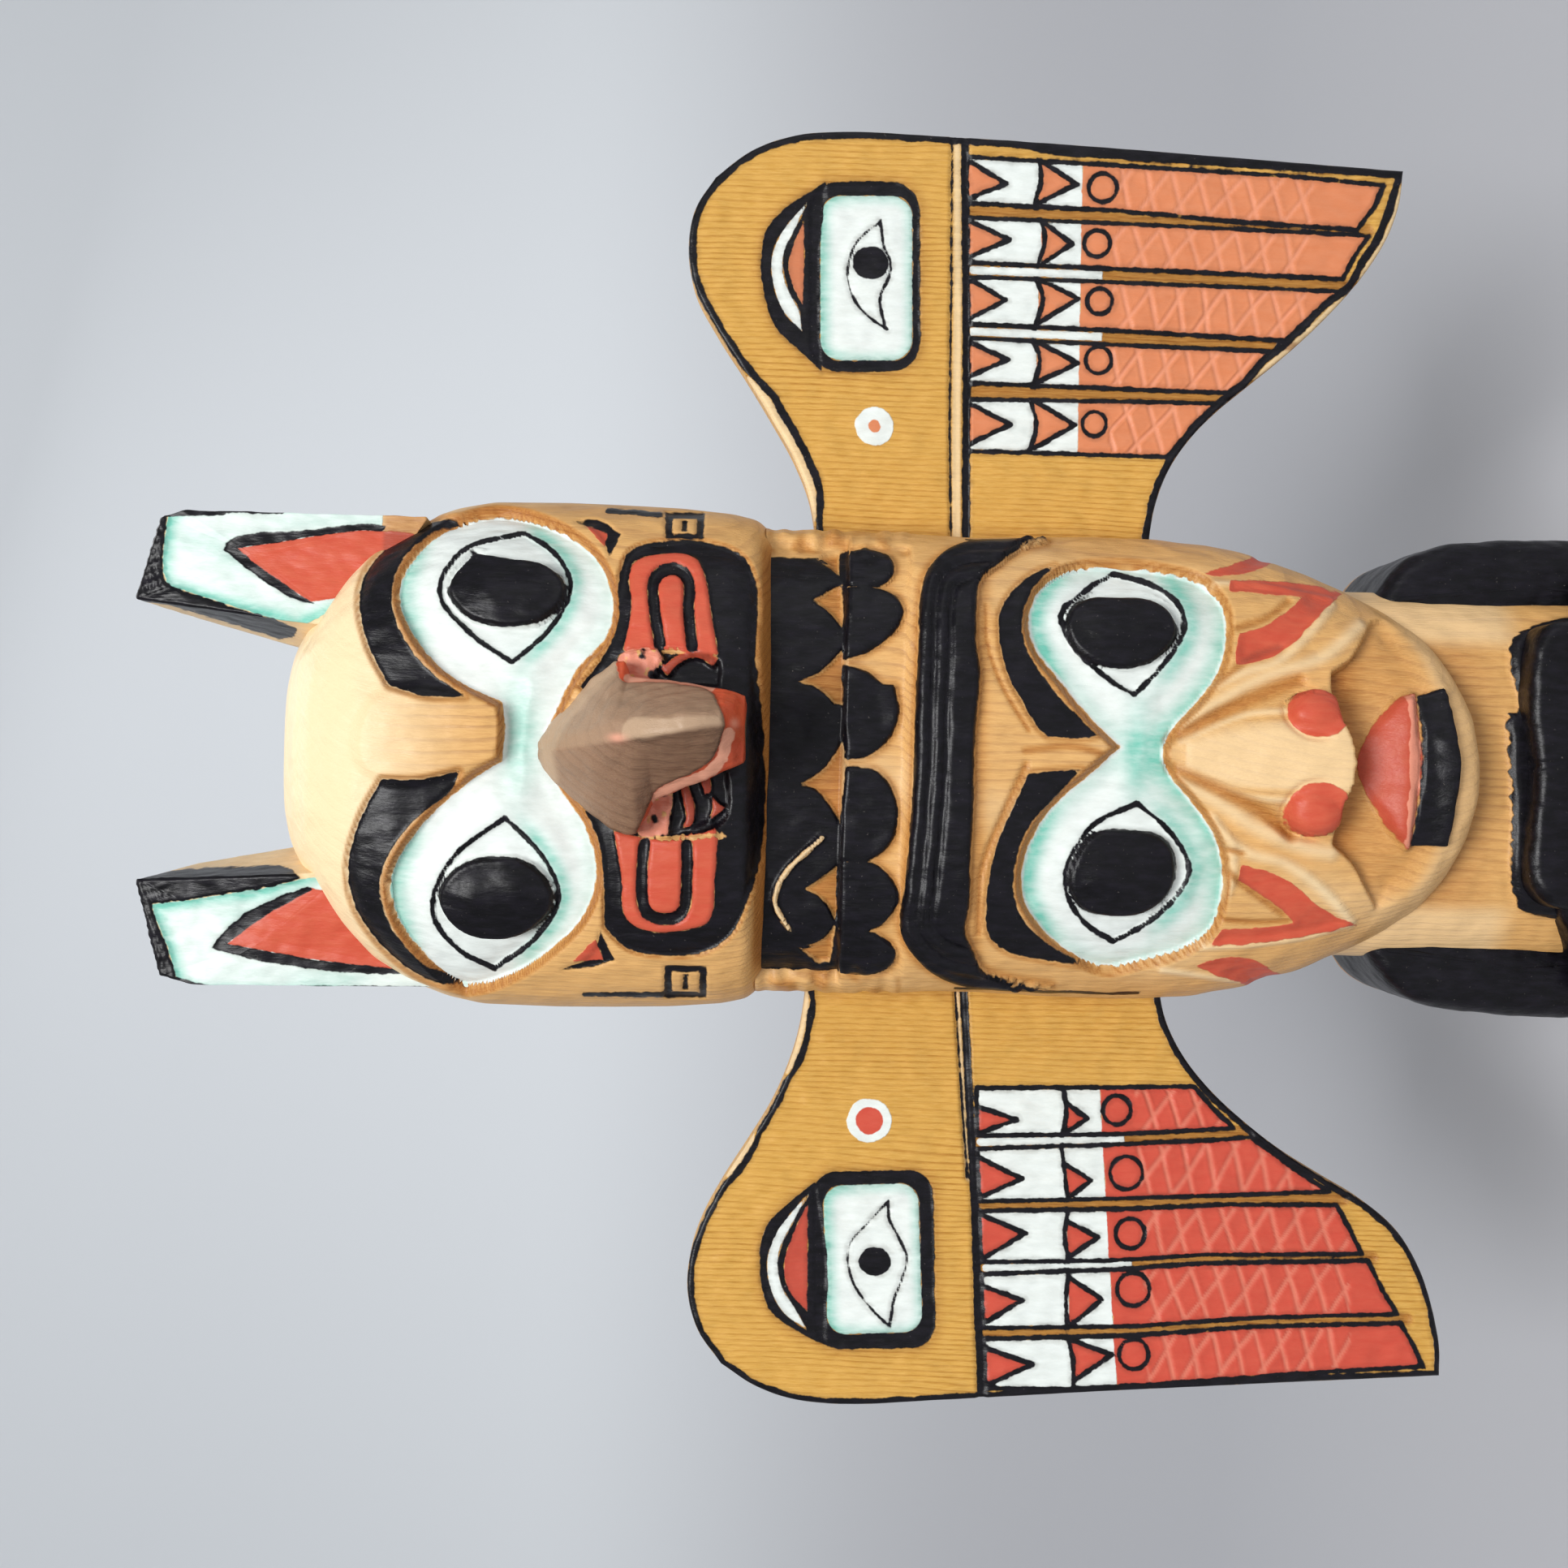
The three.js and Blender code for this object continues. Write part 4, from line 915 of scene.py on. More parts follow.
leftWing = {
    "side": -1,  # -1 stands for the left
    "top": [
        (-34.4, 183.2), (-42, 183.2), (-50, 184.3), (-57, 186.4), (-63, 189), (-70, 193.1),
        (-77, 197.4), (-84, 201),
        (-90, 202.9), (-97, 203.3), (-104, 201.3), (-110, 196.9),
    ],
    "outer": [
        (-109, 66), (-111.4, 100), (-113.6, 130), (-115.8, 158), (-116.9, 175), (-116.3, 183),
        (-114, 190.5), (-110, 196.9),
    ],
    "bottom": [
        (-34.4, 118.8), (-41, 118.5), (-46, 117.2), (-52, 114), (-58, 109), (-64, 102.2),
        (-69.5, 94.6), (-74, 87),
        (-78, 80), (-83, 74.2), (-90, 69.9), (-97, 67.5), (-104, 66.1), (-109, 66),
    ],
    "edgeLine": 1.25,
    "bareEdge": [((-49, 184.5), 10, 0.9), ((-72, 194.5), 6, 0.7)],
    "outerLine": 1.2,
    "divider": [(-116.5, 149.2), (-100, 150.3), (-80, 151.4), (-60, 152.9), (-38, 154.6)],
    "dividerWidth": 1.5,
    "dividerGroove": [(-75, 152.9), (-60, 154.3), (-38, 156.2)],
    "dividerPale": [(-75, 152.4), (-60, 153.6), (-38, 155.4)],
    "feathers": [
        [
            (-113.2, 148.6), (-104.3, 149.2), (-102.8, 120), (-100.8, 100), (-99.5, 73.4),
            (-103.5, 71), (-107.3, 69.2), (-109, 90), (-111, 110), (-113, 130),
        ],
        [
            (-102.3, 149.4), (-92.5, 149.9), (-91, 125), (-89.5, 110), (-88.3, 79.6), (-93, 77.2),
            (-97.9, 74), (-99.2, 100), (-101.3, 122),
        ],
        [
            (-90.3, 150), (-81, 150.6), (-80, 125), (-78.7, 105), (-78.3, 85.6), (-82.5, 83.2),
            (-87.1, 80.7), (-88, 110), (-89.5, 127),
        ],
        [
            (-79.3, 150.6), (-69.7, 151.2), (-68.2, 125), (-67.2, 110), (-66.4, 101.5), (-71.5, 94),
            (-75.9, 87), (-77.3, 110), (-78.2, 127),
        ],
        [
            (-67.3, 151.4), (-58.6, 151.6), (-58, 130), (-57.4, 112), (-61, 108.8), (-64.8, 104.6),
            (-65.4, 112), (-66.5, 127),
        ],
    ],
    "strips": [
        [
            (-103.3, 149), (-102, 121), (-100, 100), (-98.7, 72.5),
        ], [(-91.4, 149), (-90.2, 125), (-88.7, 110), (-87.7, 79)],
        [(-80.2, 150), (-79.1, 125), (-78, 107), (-77.2, 84.5)],
        [(-68.5, 150.5), (-67.3, 125), (-66.2, 110), (-65.5, 102)],
    ],
    "lightStrips": [1, 3],
    "rowLine": [
        (-113, 132.7), (-108, 132.8), (-103.5, 133.8), (-97, 134.4), (-90, 134.2), (-85, 134.9),
        (-80, 134.5), (-75, 135),
        (-68, 135.9), (-63, 135.2), (-58.3, 135.8),
    ],
    "paintEdge": [(-114, 124.5), (-85, 127), (-57, 129.2)],
    "teeth": [
        [
            (-112.6, 148.4), (-108.6, 140.2), (-105.8, 149),
        ], [(-101.4, 149.3), (-97, 142.3), (-94.6, 149.6)],
        [(-89.8, 150), (-84.8, 142), (-81.6, 150.4)], [(-78.5, 150.5), (-74.9, 143), (-71.2, 151)],
        [(-66.9, 151.2), (-64.2, 144.2), (-62, 151.4)],
        [
            (-111.3, 132.4), (-106.5, 125.9), (-104, 133.4),
        ], [(-101.5, 133.6), (-96.5, 127.8), (-92.6, 134)],
        [(-89, 134.2), (-85.2, 128.8), (-82.4, 134.6)], [(-78.2, 134.4), (-74.9, 130.4), (-72.2, 135)],
        [(-66.6, 135.6), (-63.7, 131.2), (-61, 135.2)],
    ],
    "rings": [
        (-106.3, 121.8, 2.9), (-94.5, 122.2, 3.2), (-84.4, 123, 2.9), (-73.4, 124, 3.2),
        (-62, 126, 2.8),
    ],
    "hatch": {
        "bottom": [(-114, 82), (-66, 84), (-64, 103), (-57, 108)],
        "top": [(-114, 119), (-57, 123)], "rise": 16, "fall": -33, "pitch": 4.2,
    },
    "box": {"at": (-90.3, 169.5), "half": (16.2, 11), "corner": 4.5, "tilt": 2.4},
    "field": {"at": (-90.2, 169.7), "half": (13.6, 8.7), "corner": 3.6, "tilt": 3.2},
    "lidTop": [(-102.6, 166.2), (-98.5, 170.5), (-94, 173.4), (-88, 174.1), (-84, 171), (-79.8, 167.3)],
    "lidBottom": [
        (-102.6, 166.3), (-98, 165.8), (-94, 164.4), (-90, 163.5), (-86, 165.2), (-83, 166.9),
        (-79.6, 167.1),
    ],
    "pupil": (-90.6, 169.3, 2.6, 2.95),
    "cap": [
        (-106, 178, 1), (-103.5, 183.5), (-99.5, 188.5), (-92, 190.2), (-85.5, 189.6), (-80.5, 185.5),
        (-76.5, 180.6, 1), (-90, 178),
    ],
    "crescent": [
        (-103.4, 181.4, 1), (-100.5, 185.6), (-96.5, 188), (-91, 188.9), (-86, 187.4), (-82, 184.6),
        (-78.4, 181.5, 1), (-83.5, 184.2), (-90, 186.9), (-95.5, 186.2), (-99.6, 183.6),
    ],
    "sliver": [
        (-100, 181.4, 1), (-96.5, 184.7), (-92, 185.8), (-86.5, 184.5), (-80.4, 181.8, 1),
        (-90, 181.6),
    ],
    "dot": (-65, 171, 4.0, 2.4),
    "seed": 4.1,
}


# Points along a line, spaced by arc length: close together at both ends, even between.
def spaced(points, count):
    line = smoothRing(points, 12, closed=False)
    arc = np.concatenate([[0], np.cumsum(np.hypot(*np.diff(line, axis=0).T))])
    near = np.array([0, 0.1, 0.24, 0.42, 0.64, 0.92]) / arc[-1]
    t = np.concatenate([near[:-1], np.linspace(near[-1], 1 - near[-1], count - 10), 1 - near[-2::-1]])
    place = [np.interp(t * arc[-1], arc, line[:, k]) for k in (0, 1)]
    return np.stack(place, axis=-1), t


# A patch filled between four edge lines: the two ways of joining opposite edges are added and
# the patch that joins the four corners alone is taken away.
def filledPatch(low, high, left, right, u, v):
    uu, vv = u[None, :, None], v[:, None, None]
    across = (1 - vv) * low[None] + vv * high[None]
    upward = (1 - uu) * left[:, None] + uu * right[:, None]
    corners = (1 - vv) * ((1 - uu) * low[0] + uu * low[-1]) + vv * ((1 - uu) * high[0] + uu * high[-1])
    return across + upward - corners


# Distance inside a box with round corners, turned a little.
def roundBox(sheet, box):
    turn = math.radians(box["tilt"])
    dx, dz = sheet[0] - box["at"][0], sheet[1] - box["at"][1]
    px, pz = dx * math.cos(turn) + dz * math.sin(turn), dz * math.cos(turn) - dx * math.sin(turn)
    qx = np.abs(px) - box["half"][0] + box["corner"]
    qz = np.abs(pz) - box["half"][1] + box["corner"]
    outside = np.hypot(np.maximum(qx, 0), np.maximum(qz, 0))
    return box["corner"] - outside - np.minimum(np.maximum(qx, qz), 0)


# Distance to the nearest of many parallel lines, `pitch` apart, that climb at an angle.
def ruled(sheet, angle, pitch, bend):
    turn = math.radians(angle)
    across = (sheet[1] * math.cos(turn) - sheet[0] * math.sin(turn) + bend) / pitch
    return np.abs(across - np.floor(across) - 0.5) * pitch


# Height and paint of a board's front, from distance fields as on the heads.
def wingFront(w, sheet):
    sx, sz = sheet
    bottom, outerEdge, top = [smoothRing(w[key], 6, closed=False) for key in ("bottom", "outer", "top")]
    outline = np.vstack([bottom, outerEdge[1:], top[::-1][1:]])
    edge = within(sheet, outline)
    jitter = wander(sx, sz, 5, w["seed"]) * 0.16
    bare = np.zeros(sx.shape)
    for (cx, cz), reach, depth in w["bareEdge"]:
        bare = np.maximum(bare, depth * (1 - ease(np.hypot(sx - cx, sz - cz), reach * 0.5, reach)))
    outer = ease(np.abs(sx), 108, 111.5) * ease(-sz, -150, -140)
    width = w["edgeLine"] * (1 - outer) + w["outerLine"] * outer
    rim = common(edge - bare - 0.05 + jitter * (bare > 0.05), bare + width - edge + jitter)
    rim = np.where(np.abs(sx) < 40, -2.0, rim)
    feathers = union(*[within(sheet, np.array(p, float)) for p in w["feathers"]])
    inner = common(feathers, edge - bare - width * 0.75)
    strips = [stroke(sheet, smoothRing(p, 4, closed=False), board["stripWidth"]) for p in w["strips"]]
    strip = union(*strips)
    edgeX, edgeZ = np.array(w["paintEdge"], float).T
    above = sz - np.interp(sx, edgeX, edgeZ)
    row = stroke(sheet, smoothRing(w["rowLine"], 4, closed=False), 0.9)
    divX, divZ = np.array(w["divider"], float).T
    below = np.interp(sx, divX, divZ) - sz
    teeth = np.full(sx.shape, far)
    toothLine = np.full(sx.shape, far)
    for tooth in w["teeth"]:
        shape = np.array(tooth, float)
        teeth = union(teeth, within(sheet, shape))
        toothLine = union(toothLine, stroke(sheet, shape, board["paintLine"]))
    rings = np.full(sx.shape, far)
    for cx, cz, r in w["rings"]:
        rings = union(rings, board["ringHalf"] - np.abs(np.hypot(sx - cx, (sz - cz) * 1.02) - r + 0.2))
    line = board["lineHalf"] - np.abs(inner)
    divider = stroke(sheet, smoothRing(w["divider"], 4, closed=False), w["dividerWidth"])
    groove = stroke(sheet, smoothRing(w["dividerGroove"], 4, closed=False), 0.45)
    palePath = stroke(sheet, smoothRing(w["dividerPale"], 4, closed=False), 1.3)
    box, field = roundBox(sheet, w["box"]), roundBox(sheet, w["field"])
    cap = within(sheet, smoothRing(w["cap"]))
    crescent = within(sheet, smoothRing(w["crescent"]))
    sliver = within(sheet, smoothRing(w["sliver"]))
    lidTop, lidBottom = smoothRing(w["lidTop"], closed=False), smoothRing(w["lidBottom"], closed=False)
    lids = union(stroke(sheet, lidTop, 0.42), stroke(sheet, lidBottom, 0.5))
    px, pz, rx, rz = w["pupil"]
    pupil = (1 - np.hypot((sx - px) / rx, (sz - pz) / rz)) * min(rx, rz)
    dotX, dotZ, outerR, innerR = w["dot"]
    dot = np.hypot(sx - dotX, sz - dotZ)

    h = w["hatch"]
    lowX, lowZ = np.array(h["bottom"], float).T
    highX, highZ = np.array(h["top"], float).T
    low, high = np.interp(sx, lowX, lowZ), np.interp(sx, highX, highZ)
    zone = common(inner - 0.6, sz - low, high - sz)
    bend = wander(sx, sz, 30, w["seed"] + 2) * 0.9
    cutA = ruled(sheet, h["rise"], h["pitch"], bend)
    cutB = ruled(sheet, h["fall"], h["pitch"] * 1.25, -bend)
    cuts = common(0.42 - np.minimum(cutA, cutB), zone)
    patchy = wander(sx, sz, 17, w["seed"] + 5)

    stripeDark = common(strip, -feathers - 0.2, below - 0.4)
    black = union(
        rim, common(line, below + 0.6), common(row, feathers + 0.6),
        common(toothLine, feathers + 0.4, below + 0.2), common(rings, feathers),
        divider, groove, common(box, -field), common(cap, -crescent, -sliver), lids, pupil,
    )
    white = union(common(inner - 0.25, above, -teeth), field, crescent, outerR - dot)
    for i in w["lightStrips"]:
        white = union(white, common(strips[i] - 0.55, above + 4, below - 0.6))
    red = union(common(inner - 0.25, -above), common(teeth, feathers), sliver, innerR - dot)
    mint = 0.9 * ease(-field, -3.2, 0) * ease(sz, w["box"]["at"][1] - 3, w["box"]["at"][1] + 8)
    mint = np.maximum(mint, 0.55 * ease(-field, -2.6, 0) * (field > -0.5))
    mint = mint * (box > -1)
    # Darker in patches near the root by the pole's side, in the sunk strips between the feathers, and round the black
    # box and cap.
    stainAndShade = 0.75 * ease(-np.abs(sx), -45, -38) * ease(wander(sx, sz, 9, 3) + 0.4, -0.4, 0.8)
    stainAndShade = np.maximum(stainAndShade, 0.8 * ease(stripeDark, -0.3, 0.4))
    halo = np.maximum(ease(box, -2.6, 0), ease(cap, -2.4, 0)) * 0.35
    stainAndShade = np.clip(np.maximum(stainAndShade, halo), 0, 1)
    # Paler along a strip beside the divider and on the bare wood at the edges.
    paleAndLit = 0.8 * ease(palePath, -0.3, 0.2) * (1 - ease(divider, -0.2, 0.1))
    paleAndLit = np.maximum(paleAndLit, 0.9 * (bare > 0.3) * ease(bare - edge, -0.15, 0.1))

    curve = board["rounding"]
    height = np.sqrt(np.maximum(curve**2 - np.maximum(curve - edge, 0) ** 2, 0)) - curve
    height = height - 0.55 * ease(stripeDark, -0.2, 1.0) - 0.22 * ease(common(line, below), -0.5, 0.3)
    height = height - 0.4 * ease(divider, -0.4, 0.4) - 0.35 * ease(groove, -0.5, 0.15) - 0.2 * ease(palePath, -0.4, 0.5)
    height = height - 0.28 * ease(box, -0.3, 0.5) - 0.28 * ease(cap, -0.3, 0.4) + 0.12 * ease(field, -0.2, 0.4)
    height = height - 0.18 * ease(lids, -0.35, 0.15) - 0.16 * ease(common(rings, feathers), -0.3, 0.3)
    height = height - 0.12 * ease(common(toothLine, feathers), -0.3, 0.3)
    burr = common(0.95 - np.minimum(cutA, cutB), zone)
    height = height - (0.30 + 0.08 * patchy) * ease(cuts, -0.28, 0.34) + 0.10 * ease(burr, -0.1, 0.3)
    height = height + 0.07 * wander(sx, sz, 7, w["seed"]) + 0.05 * wander(sx, sz * 0.4, 3.1, w["seed"] + 1)
    return height, {
        "white": white, "red": red, "black": black, "mint": mint, "stainAndShade": stainAndShade, "paleAndLit": paleAndLit,
        "cut": ease(cuts, -0.15, 0.3),
    }


# The board: a carved front patch, a straight side wall, and a flat back with a small bevel.
def makeWing(name, node, w, material):
    columns = int(board["width"] / board["spacing"]) + 12
    rows = int(board["height"] / board["spacing"]) + 12
    low, u = spaced(w["bottom"], columns)
    high, _ = spaced(w["top"], columns)
    left, v = spaced([w["bottom"][0], w["top"][0]], rows)
    right, _ = spaced(w["outer"], rows)
    flat = filledPatch(low, high, left, right, u, v)
    if w["side"] < 0:
        flat = flat[:, ::-1]
    height, paint = wingFront(w, (flat[..., 0], flat[..., 1]))
    grid = np.stack([flat[..., 0], board["front"] - height, flat[..., 1]], axis=-1)
    rowsN, columnsN = grid.shape[:2]
    index = np.arange(rowsN * columnsN).reshape(rowsN, columnsN)
    loop = np.concatenate([index[0, :-1], index[:-1, -1], index[-1, :0:-1], index[:0:-1, 0]])
    ring = grid.reshape(-1, 3)[loop]
    ahead = np.roll(ring, -1, axis=0) - np.roll(ring, 1, axis=0)
    inward = np.stack([-ahead[:, 2], np.zeros(len(ring)), ahead[:, 0]], axis=-1)
    inward /= np.maximum(np.linalg.norm(inward, axis=1, keepdims=True), 1e-9)
    back = board["front"] + board["thickness"]
    walls = []
    for inset, y in ((0, board["front"] + 1.6), (0, back - 0.6), (0, back - 0.15), (0.1, back)):
        step = ring + inward * inset
        step[:, 1] = y
        walls.append(step)
    count = len(ring)
    points = np.vstack([grid.reshape(-1, 3)] + walls)
    start = rowsN * columnsN
    rings = np.vstack([loop] + [start + k * count + np.arange(count) for k in range(len(walls))])
    a, b = rings[:-1], rings[1:]
    side = np.stack([a, b, np.roll(b, -1, axis=1), np.roll(a, -1, axis=1)], axis=-1).reshape(-1, 4)
    faces = [gridFaces(rowsN, columnsN), side, rings[-1][::-1][None]]
    full = {}
    for key, value in paint.items():
        value = value.reshape(-1)
        full[key] = np.concatenate([value, np.full(count * len(walls), paintBlanks[key])])
    finishPiece(name, points, faces, full, material, node)


makeWing("wing_board_right", "wing_right", rightWing, boardWoodRight)
makeWing("wing_board_left", "wing_left", leftWing, boardWoodLeft)

# Man's head, headband and the thunderbird's chest, in one block.

manHead = {
    "sheet": 0,
    "chestSheet": 6,
    "rowStep": 0.45,
    "spacing": 0.46,
    "stations": [  # height, half width, depth in front of the widest line, depth behind it
        (73.8, 9, 24.6, 22.5), (74.8, 16, 26.8, 22.5), (77.5, 22, 27.8, 22.5), (81, 26.2, 28, 22.5),
        (86, 29.6, 28, 22.5),
        (91, 32, 28, 22.5), (98, 35.2, 28, 22.6), (106, 38, 28, 23), (115, 40, 28, 23),
        (124, 40.8, 27.8, 23),
        (136, 40.8, 27.6, 23), (148, 40.4, 27.8, 23), (158, 40.1, 28, 23), (166, 40.5, 27.6, 23),
        (169, 40.7, 26.3, 23),
        (178, 40.8, 26, 23), (192.4, 40.8, 26, 23),
    ],
    "mask": [
        (3.1, 133.6, 1), (-1.1, 138.2), (-5, 142.6), (-10, 146.7), (-15.7, 148.9), (-21, 149),
        (-26, 146.2), (-30.4, 141), (-32.9, 135.6),
        (-31.6, 129.5), (-29.6, 123), (-26.5, 118.8), (-21.5, 116.9), (-16, 116.7), (-10.5, 118.4),
        (-5.5, 122), (-1.2, 125.6),
        (2, 126.9), (6, 125.6), (11, 121.3), (15.5, 118.3), (20.5, 117.1), (26, 117.6), (30, 121),
        (31.9, 127.5), (32.5, 134),
        (31.6, 142.6), (28.6, 147), (24.2, 149), (19, 148), (13.5, 143.6), (8, 139),
    ],
    "eyes": [
        {
            "lids": [
                (-28.4, 134.1, 1), (-25.2, 139), (-19.8, 142.1), (-14, 140.9), (-9.6, 137.8),
                (-5.9, 130.8, 1), (-10.6, 125.2), (-16.6, 122.1), (-22.4, 125.4), (-26.2, 130.2),
            ],
            "pupil": [
                (-24.8, 133), (-23.6, 139), (-19.6, 141.6), (-14.6, 140.6), (-11, 138), (-10.2, 132),
                (-11.6, 126), (-16, 124.1), (-20.6, 125), (-23.9, 128.6),
            ],
        },
        {
            "lids": [
                (11.6, 131.7, 1), (14.8, 136.9), (19.2, 141.6), (24, 143.9), (28, 140.4),
                (31.2, 135.6, 1), (29.6, 129.6), (27, 125.4), (23.4, 123.8), (17.8, 126.2),
            ],
            "pupil": [
                (15.8, 133), (17, 139), (20, 142.2), (23.8, 143), (27.2, 140.6), (28, 134),
                (27.6, 129), (25.4, 125.8), (22.4, 124.8), (18.4, 127),
            ],
        },
    ],
    "brows": [
        [
            (-32.5, 138.2, 1), (-31.6, 145.4), (-30, 152), (-27.4, 154.4), (-23.4, 154.8),
            (-17.6, 154.3), (-11.8, 152.8), (-6, 150.4),
            (-1.6, 148.5, 1), (-1.2, 146), (-0.6, 139.9, 1), (-5, 143.8), (-9.5, 147.8), (-14.7, 150),
            (-20.6, 150.5), (-24.8, 149), (-28.8, 145),
        ],
        [
            (32.2, 145, 1), (31, 148.2), (28.2, 151.5), (24.2, 153.8), (19.4, 153.6), (14.4, 152.2),
            (9.7, 149.6), (5.8, 147),
            (4.5, 145.4, 1), (4.4, 139.6), (4.9, 137.4, 1), (8.7, 141.6), (13.6, 146), (19.4, 149.6),
            (24.4, 150), (28.6, 148.4),
        ],
    ],
    "nose": [  # height, left edge, right edge, how far it stands out
        (126.5, -1.2, 5, -0.4), (122, -3.2, 6.6, 0.7), (118, -5.2, 8.6, 1.4), (111, -8, 11.6, 3.0),
        (104, -10.4, 13.6, 4.4), (99, -11.6, 14.6, 5.2), (95, -11.8, 15, 5.2),
    ],
    "noseFoot": [
        (-14, 99), (-11, 98.8), (-5, 98.5), (-2, 97.3), (1.5, 96.9), (5, 97.6), (8, 99), (12, 99.5),
        (18, 99.2),
    ],
    "nostrils": [(-6.2, 102.6, 4.3, 4.6), (9.2, 102.9, 3.7, 4.4)],
    "muzzle": [
        (-22.5, 89.5, 1), (-19, 92.2), (-15, 95), (-12, 98.6, 1), (-5, 98.3), (1, 96.8), (6, 98),
        (11, 99.4), (16, 99.3, 1), (18.5, 95.8),
        (22, 93), (25.3, 90.3), (25.6, 87), (22, 83.6), (14, 81), (2, 79.2), (-12, 80.2), (-20, 84),
    ],
    "lip": [
        (-12.4, 86, 1), (-9.4, 89), (-5.4, 91.4), (-1.5, 93.6), (2, 94.3), (5.4, 93.2), (9, 91),
        (12.2, 88), (13.1, 85.6, 1), (7, 85.4), (2, 84.8), (-5, 85.5),
    ],
    "mouth": [
        (-12, 85.9, 1), (-11.4, 80.2, 1), (-5, 79.6), (2, 79.3), (9, 80.2), (13.7, 81.1, 1),
        (12.8, 85.4, 1), (2, 84.9),
    ],
    "cheeks": [
        [
            (-28.6, 118, 1), (-26, 116.6, 1), (-25.7, 110), (-24.7, 104.6, 1), (-22, 107.6),
            (-19.4, 111.2), (-18, 114, 1), (-15.8, 113.6, 1),
            (-16.4, 109.4), (-18.6, 105), (-22.4, 100.4), (-24.7, 95, 1), (-26.2, 101), (-27.6, 108),
        ],
        [
            (-32, 120.6, 1), (-30.6, 116), (-30.8, 111.6), (-33, 107), (-32.6, 98.5, 1), (-34.4, 103),
            (-35.5, 107.5), (-34.6, 113),
        ],
        [
            (16.8, 115.4, 1), (22, 114.9, 1), (23.2, 110.8), (26, 107), (28.4, 104.2, 1), (28.5, 110),
            (28.9, 116.6, 1), (30.5, 116.4, 1),
            (30.5, 110), (29.9, 103), (28.8, 98.6, 1), (25.4, 102), (20.6, 106.4), (18, 110.4),
        ],
        [
            (31.4, 121.4, 1), (33, 116.4), (35.4, 110), (36.2, 104.5, 1), (34.6, 108.2),
            (32.4, 112.4), (31.4, 116.6),
        ],
    ],
    "ridges": [  # carved edges left proud: a line, its half width, its height
        ([(-2, 124), (-5, 118.5), (-9.5, 111), (-12.5, 103), (-13.2, 99)], 2.2, 0.5),
        ([(-9, 119), (-13.5, 112.5), (-15, 106.5), (-19.5, 99.5), (-25, 93.5)], 1.6, 0.55),
        ([(7, 123.5), (11.5, 117), (15.5, 109.5), (18.5, 101), (24.5, 93.2)], 1.8, 0.55),
        ([(13, 119.5), (16, 113), (17.5, 108.5), (22, 103.2), (28, 97.4)], 1.4, 0.5),
        ([(-29.6, 119), (-28.9, 110), (-27.4, 101), (-25.4, 94.4)], 1.0, 0.5),
        ([(30.9, 119.6), (31, 110), (30.2, 103), (29.2, 97)], 0.9, 0.45),
        ([(-24.2, 117.2), (-18, 114.9), (-12.5, 115.3), (-8, 118.4)], 1.5, 0.45),
        ([(-33.8, 124), (-34.9, 116), (-36, 108)], 1.0, 0.4),
        ([(0, 124), (-4.2, 114), (-5, 106.4)], 0.9, 0.35),
        ([(4.4, 124), (8.9, 113.6), (9.6, 107.6)], 0.9, 0.35),
    ],
    "cuts": [  # narrow gouge cuts: a line, its half width, its depth
        ([(0.2, 125.5), (-3.6, 117), (-7.2, 109.6), (-10.6, 105.6)], 1.7, 0.9),
        ([(4.6, 125.5), (8.8, 118), (12.2, 110.5), (14.6, 104.5)], 1.7, 0.9),
        ([(-16.4, 116), (-19.6, 111.4), (-23.6, 105.4)], 1.1, 0.5),
        ([(-24.6, 116.4), (-25, 109), (-24.6, 104.4)], 0.9, 0.4),
        ([(23.2, 114.4), (25, 109.4), (28.2, 105)], 1.0, 0.5),
        ([(-28, 155.4), (-18, 155.6), (-8, 152.2), (0, 148.8)], 0.9, 0.55),
        ([(5.5, 148.6), (13, 153.2), (20, 155.6), (26, 155.6)], 0.7, 0.3),
        ([(1, 133.4), (3, 141), (2.2, 149)], 1.0, 0.25),
        ([(14, 118), (18.5, 112), (20.2, 107.4)], 0.9, 0.3), ([(-12.5, 118.6), (-13.6, 113.4)], 0.8, 0.3),
    ],
    "band": [
        (-36.2, 157.5), (-35, 161.5), (-33.3, 164.4), (-30.4, 166.9), (-27, 168.2), (-21, 167.5),
        (-14, 167), (-5, 166.6), (8, 166.5),
        (20, 166.3), (27, 166.2), (31.4, 165.2), (34.2, 162.6), (35.9, 158.5), (36.4, 153),
        (37, 145.5, 1), (36.1, 148.6), (34.9, 151),
        (32.8, 153.6), (30.4, 156.2), (26, 156.8), (20, 156.7), (15, 156), (4, 156.6), (-6, 156.5),
        (-15, 156.8), (-23, 156.8),
        (-28, 157.4), (-31, 156), (-33.8, 154.6), (-35.4, 150.6), (-36.4, 143, 1), (-36.6, 151),
    ],
    "bandTop": [
        (-36.4, 150), (-36, 158), (-34.6, 162.4), (-32.2, 165.6), (-27.6, 168.2), (-21, 167.6),
        (-14, 167), (-5, 166.6), (8, 166.5), (20, 166.3), (27, 166.2), (31.4, 165.2), (34.2, 162.6),
        (35.9, 158.5), (36.6, 150),
    ],
    "templeY": -14,
    "templeEnds": (126, 145),
    "curl": [(-28.5, 186.5), (-24, 189), (-20, 188), (-13, 181.5)],  # a shaving left on the bird's chest
    "upperGaps": [
        [
            (-34, 181.4, 1), (-31.2, 185.2, 1), (-30.7, 182.4), (-29.4, 180.4), (-27, 178.7, 1),
            (-33.6, 179.6, 1),
        ],
        [
            (-21.5, 184.1, 1), (-23.2, 181.2), (-26.4, 179, 1), (-26.4, 178.3, 1), (-16.8, 177.9, 1),
            (-18.8, 180.4), (-20.4, 182.4),
        ],
        [
            (-4.2, 185.5, 1), (-5.2, 182.6), (-8, 180), (-11.4, 178.1, 1), (-11.4, 177.6, 1),
            (4.6, 177.9, 1), (1.4, 179.4), (-2, 182),
        ],
        [
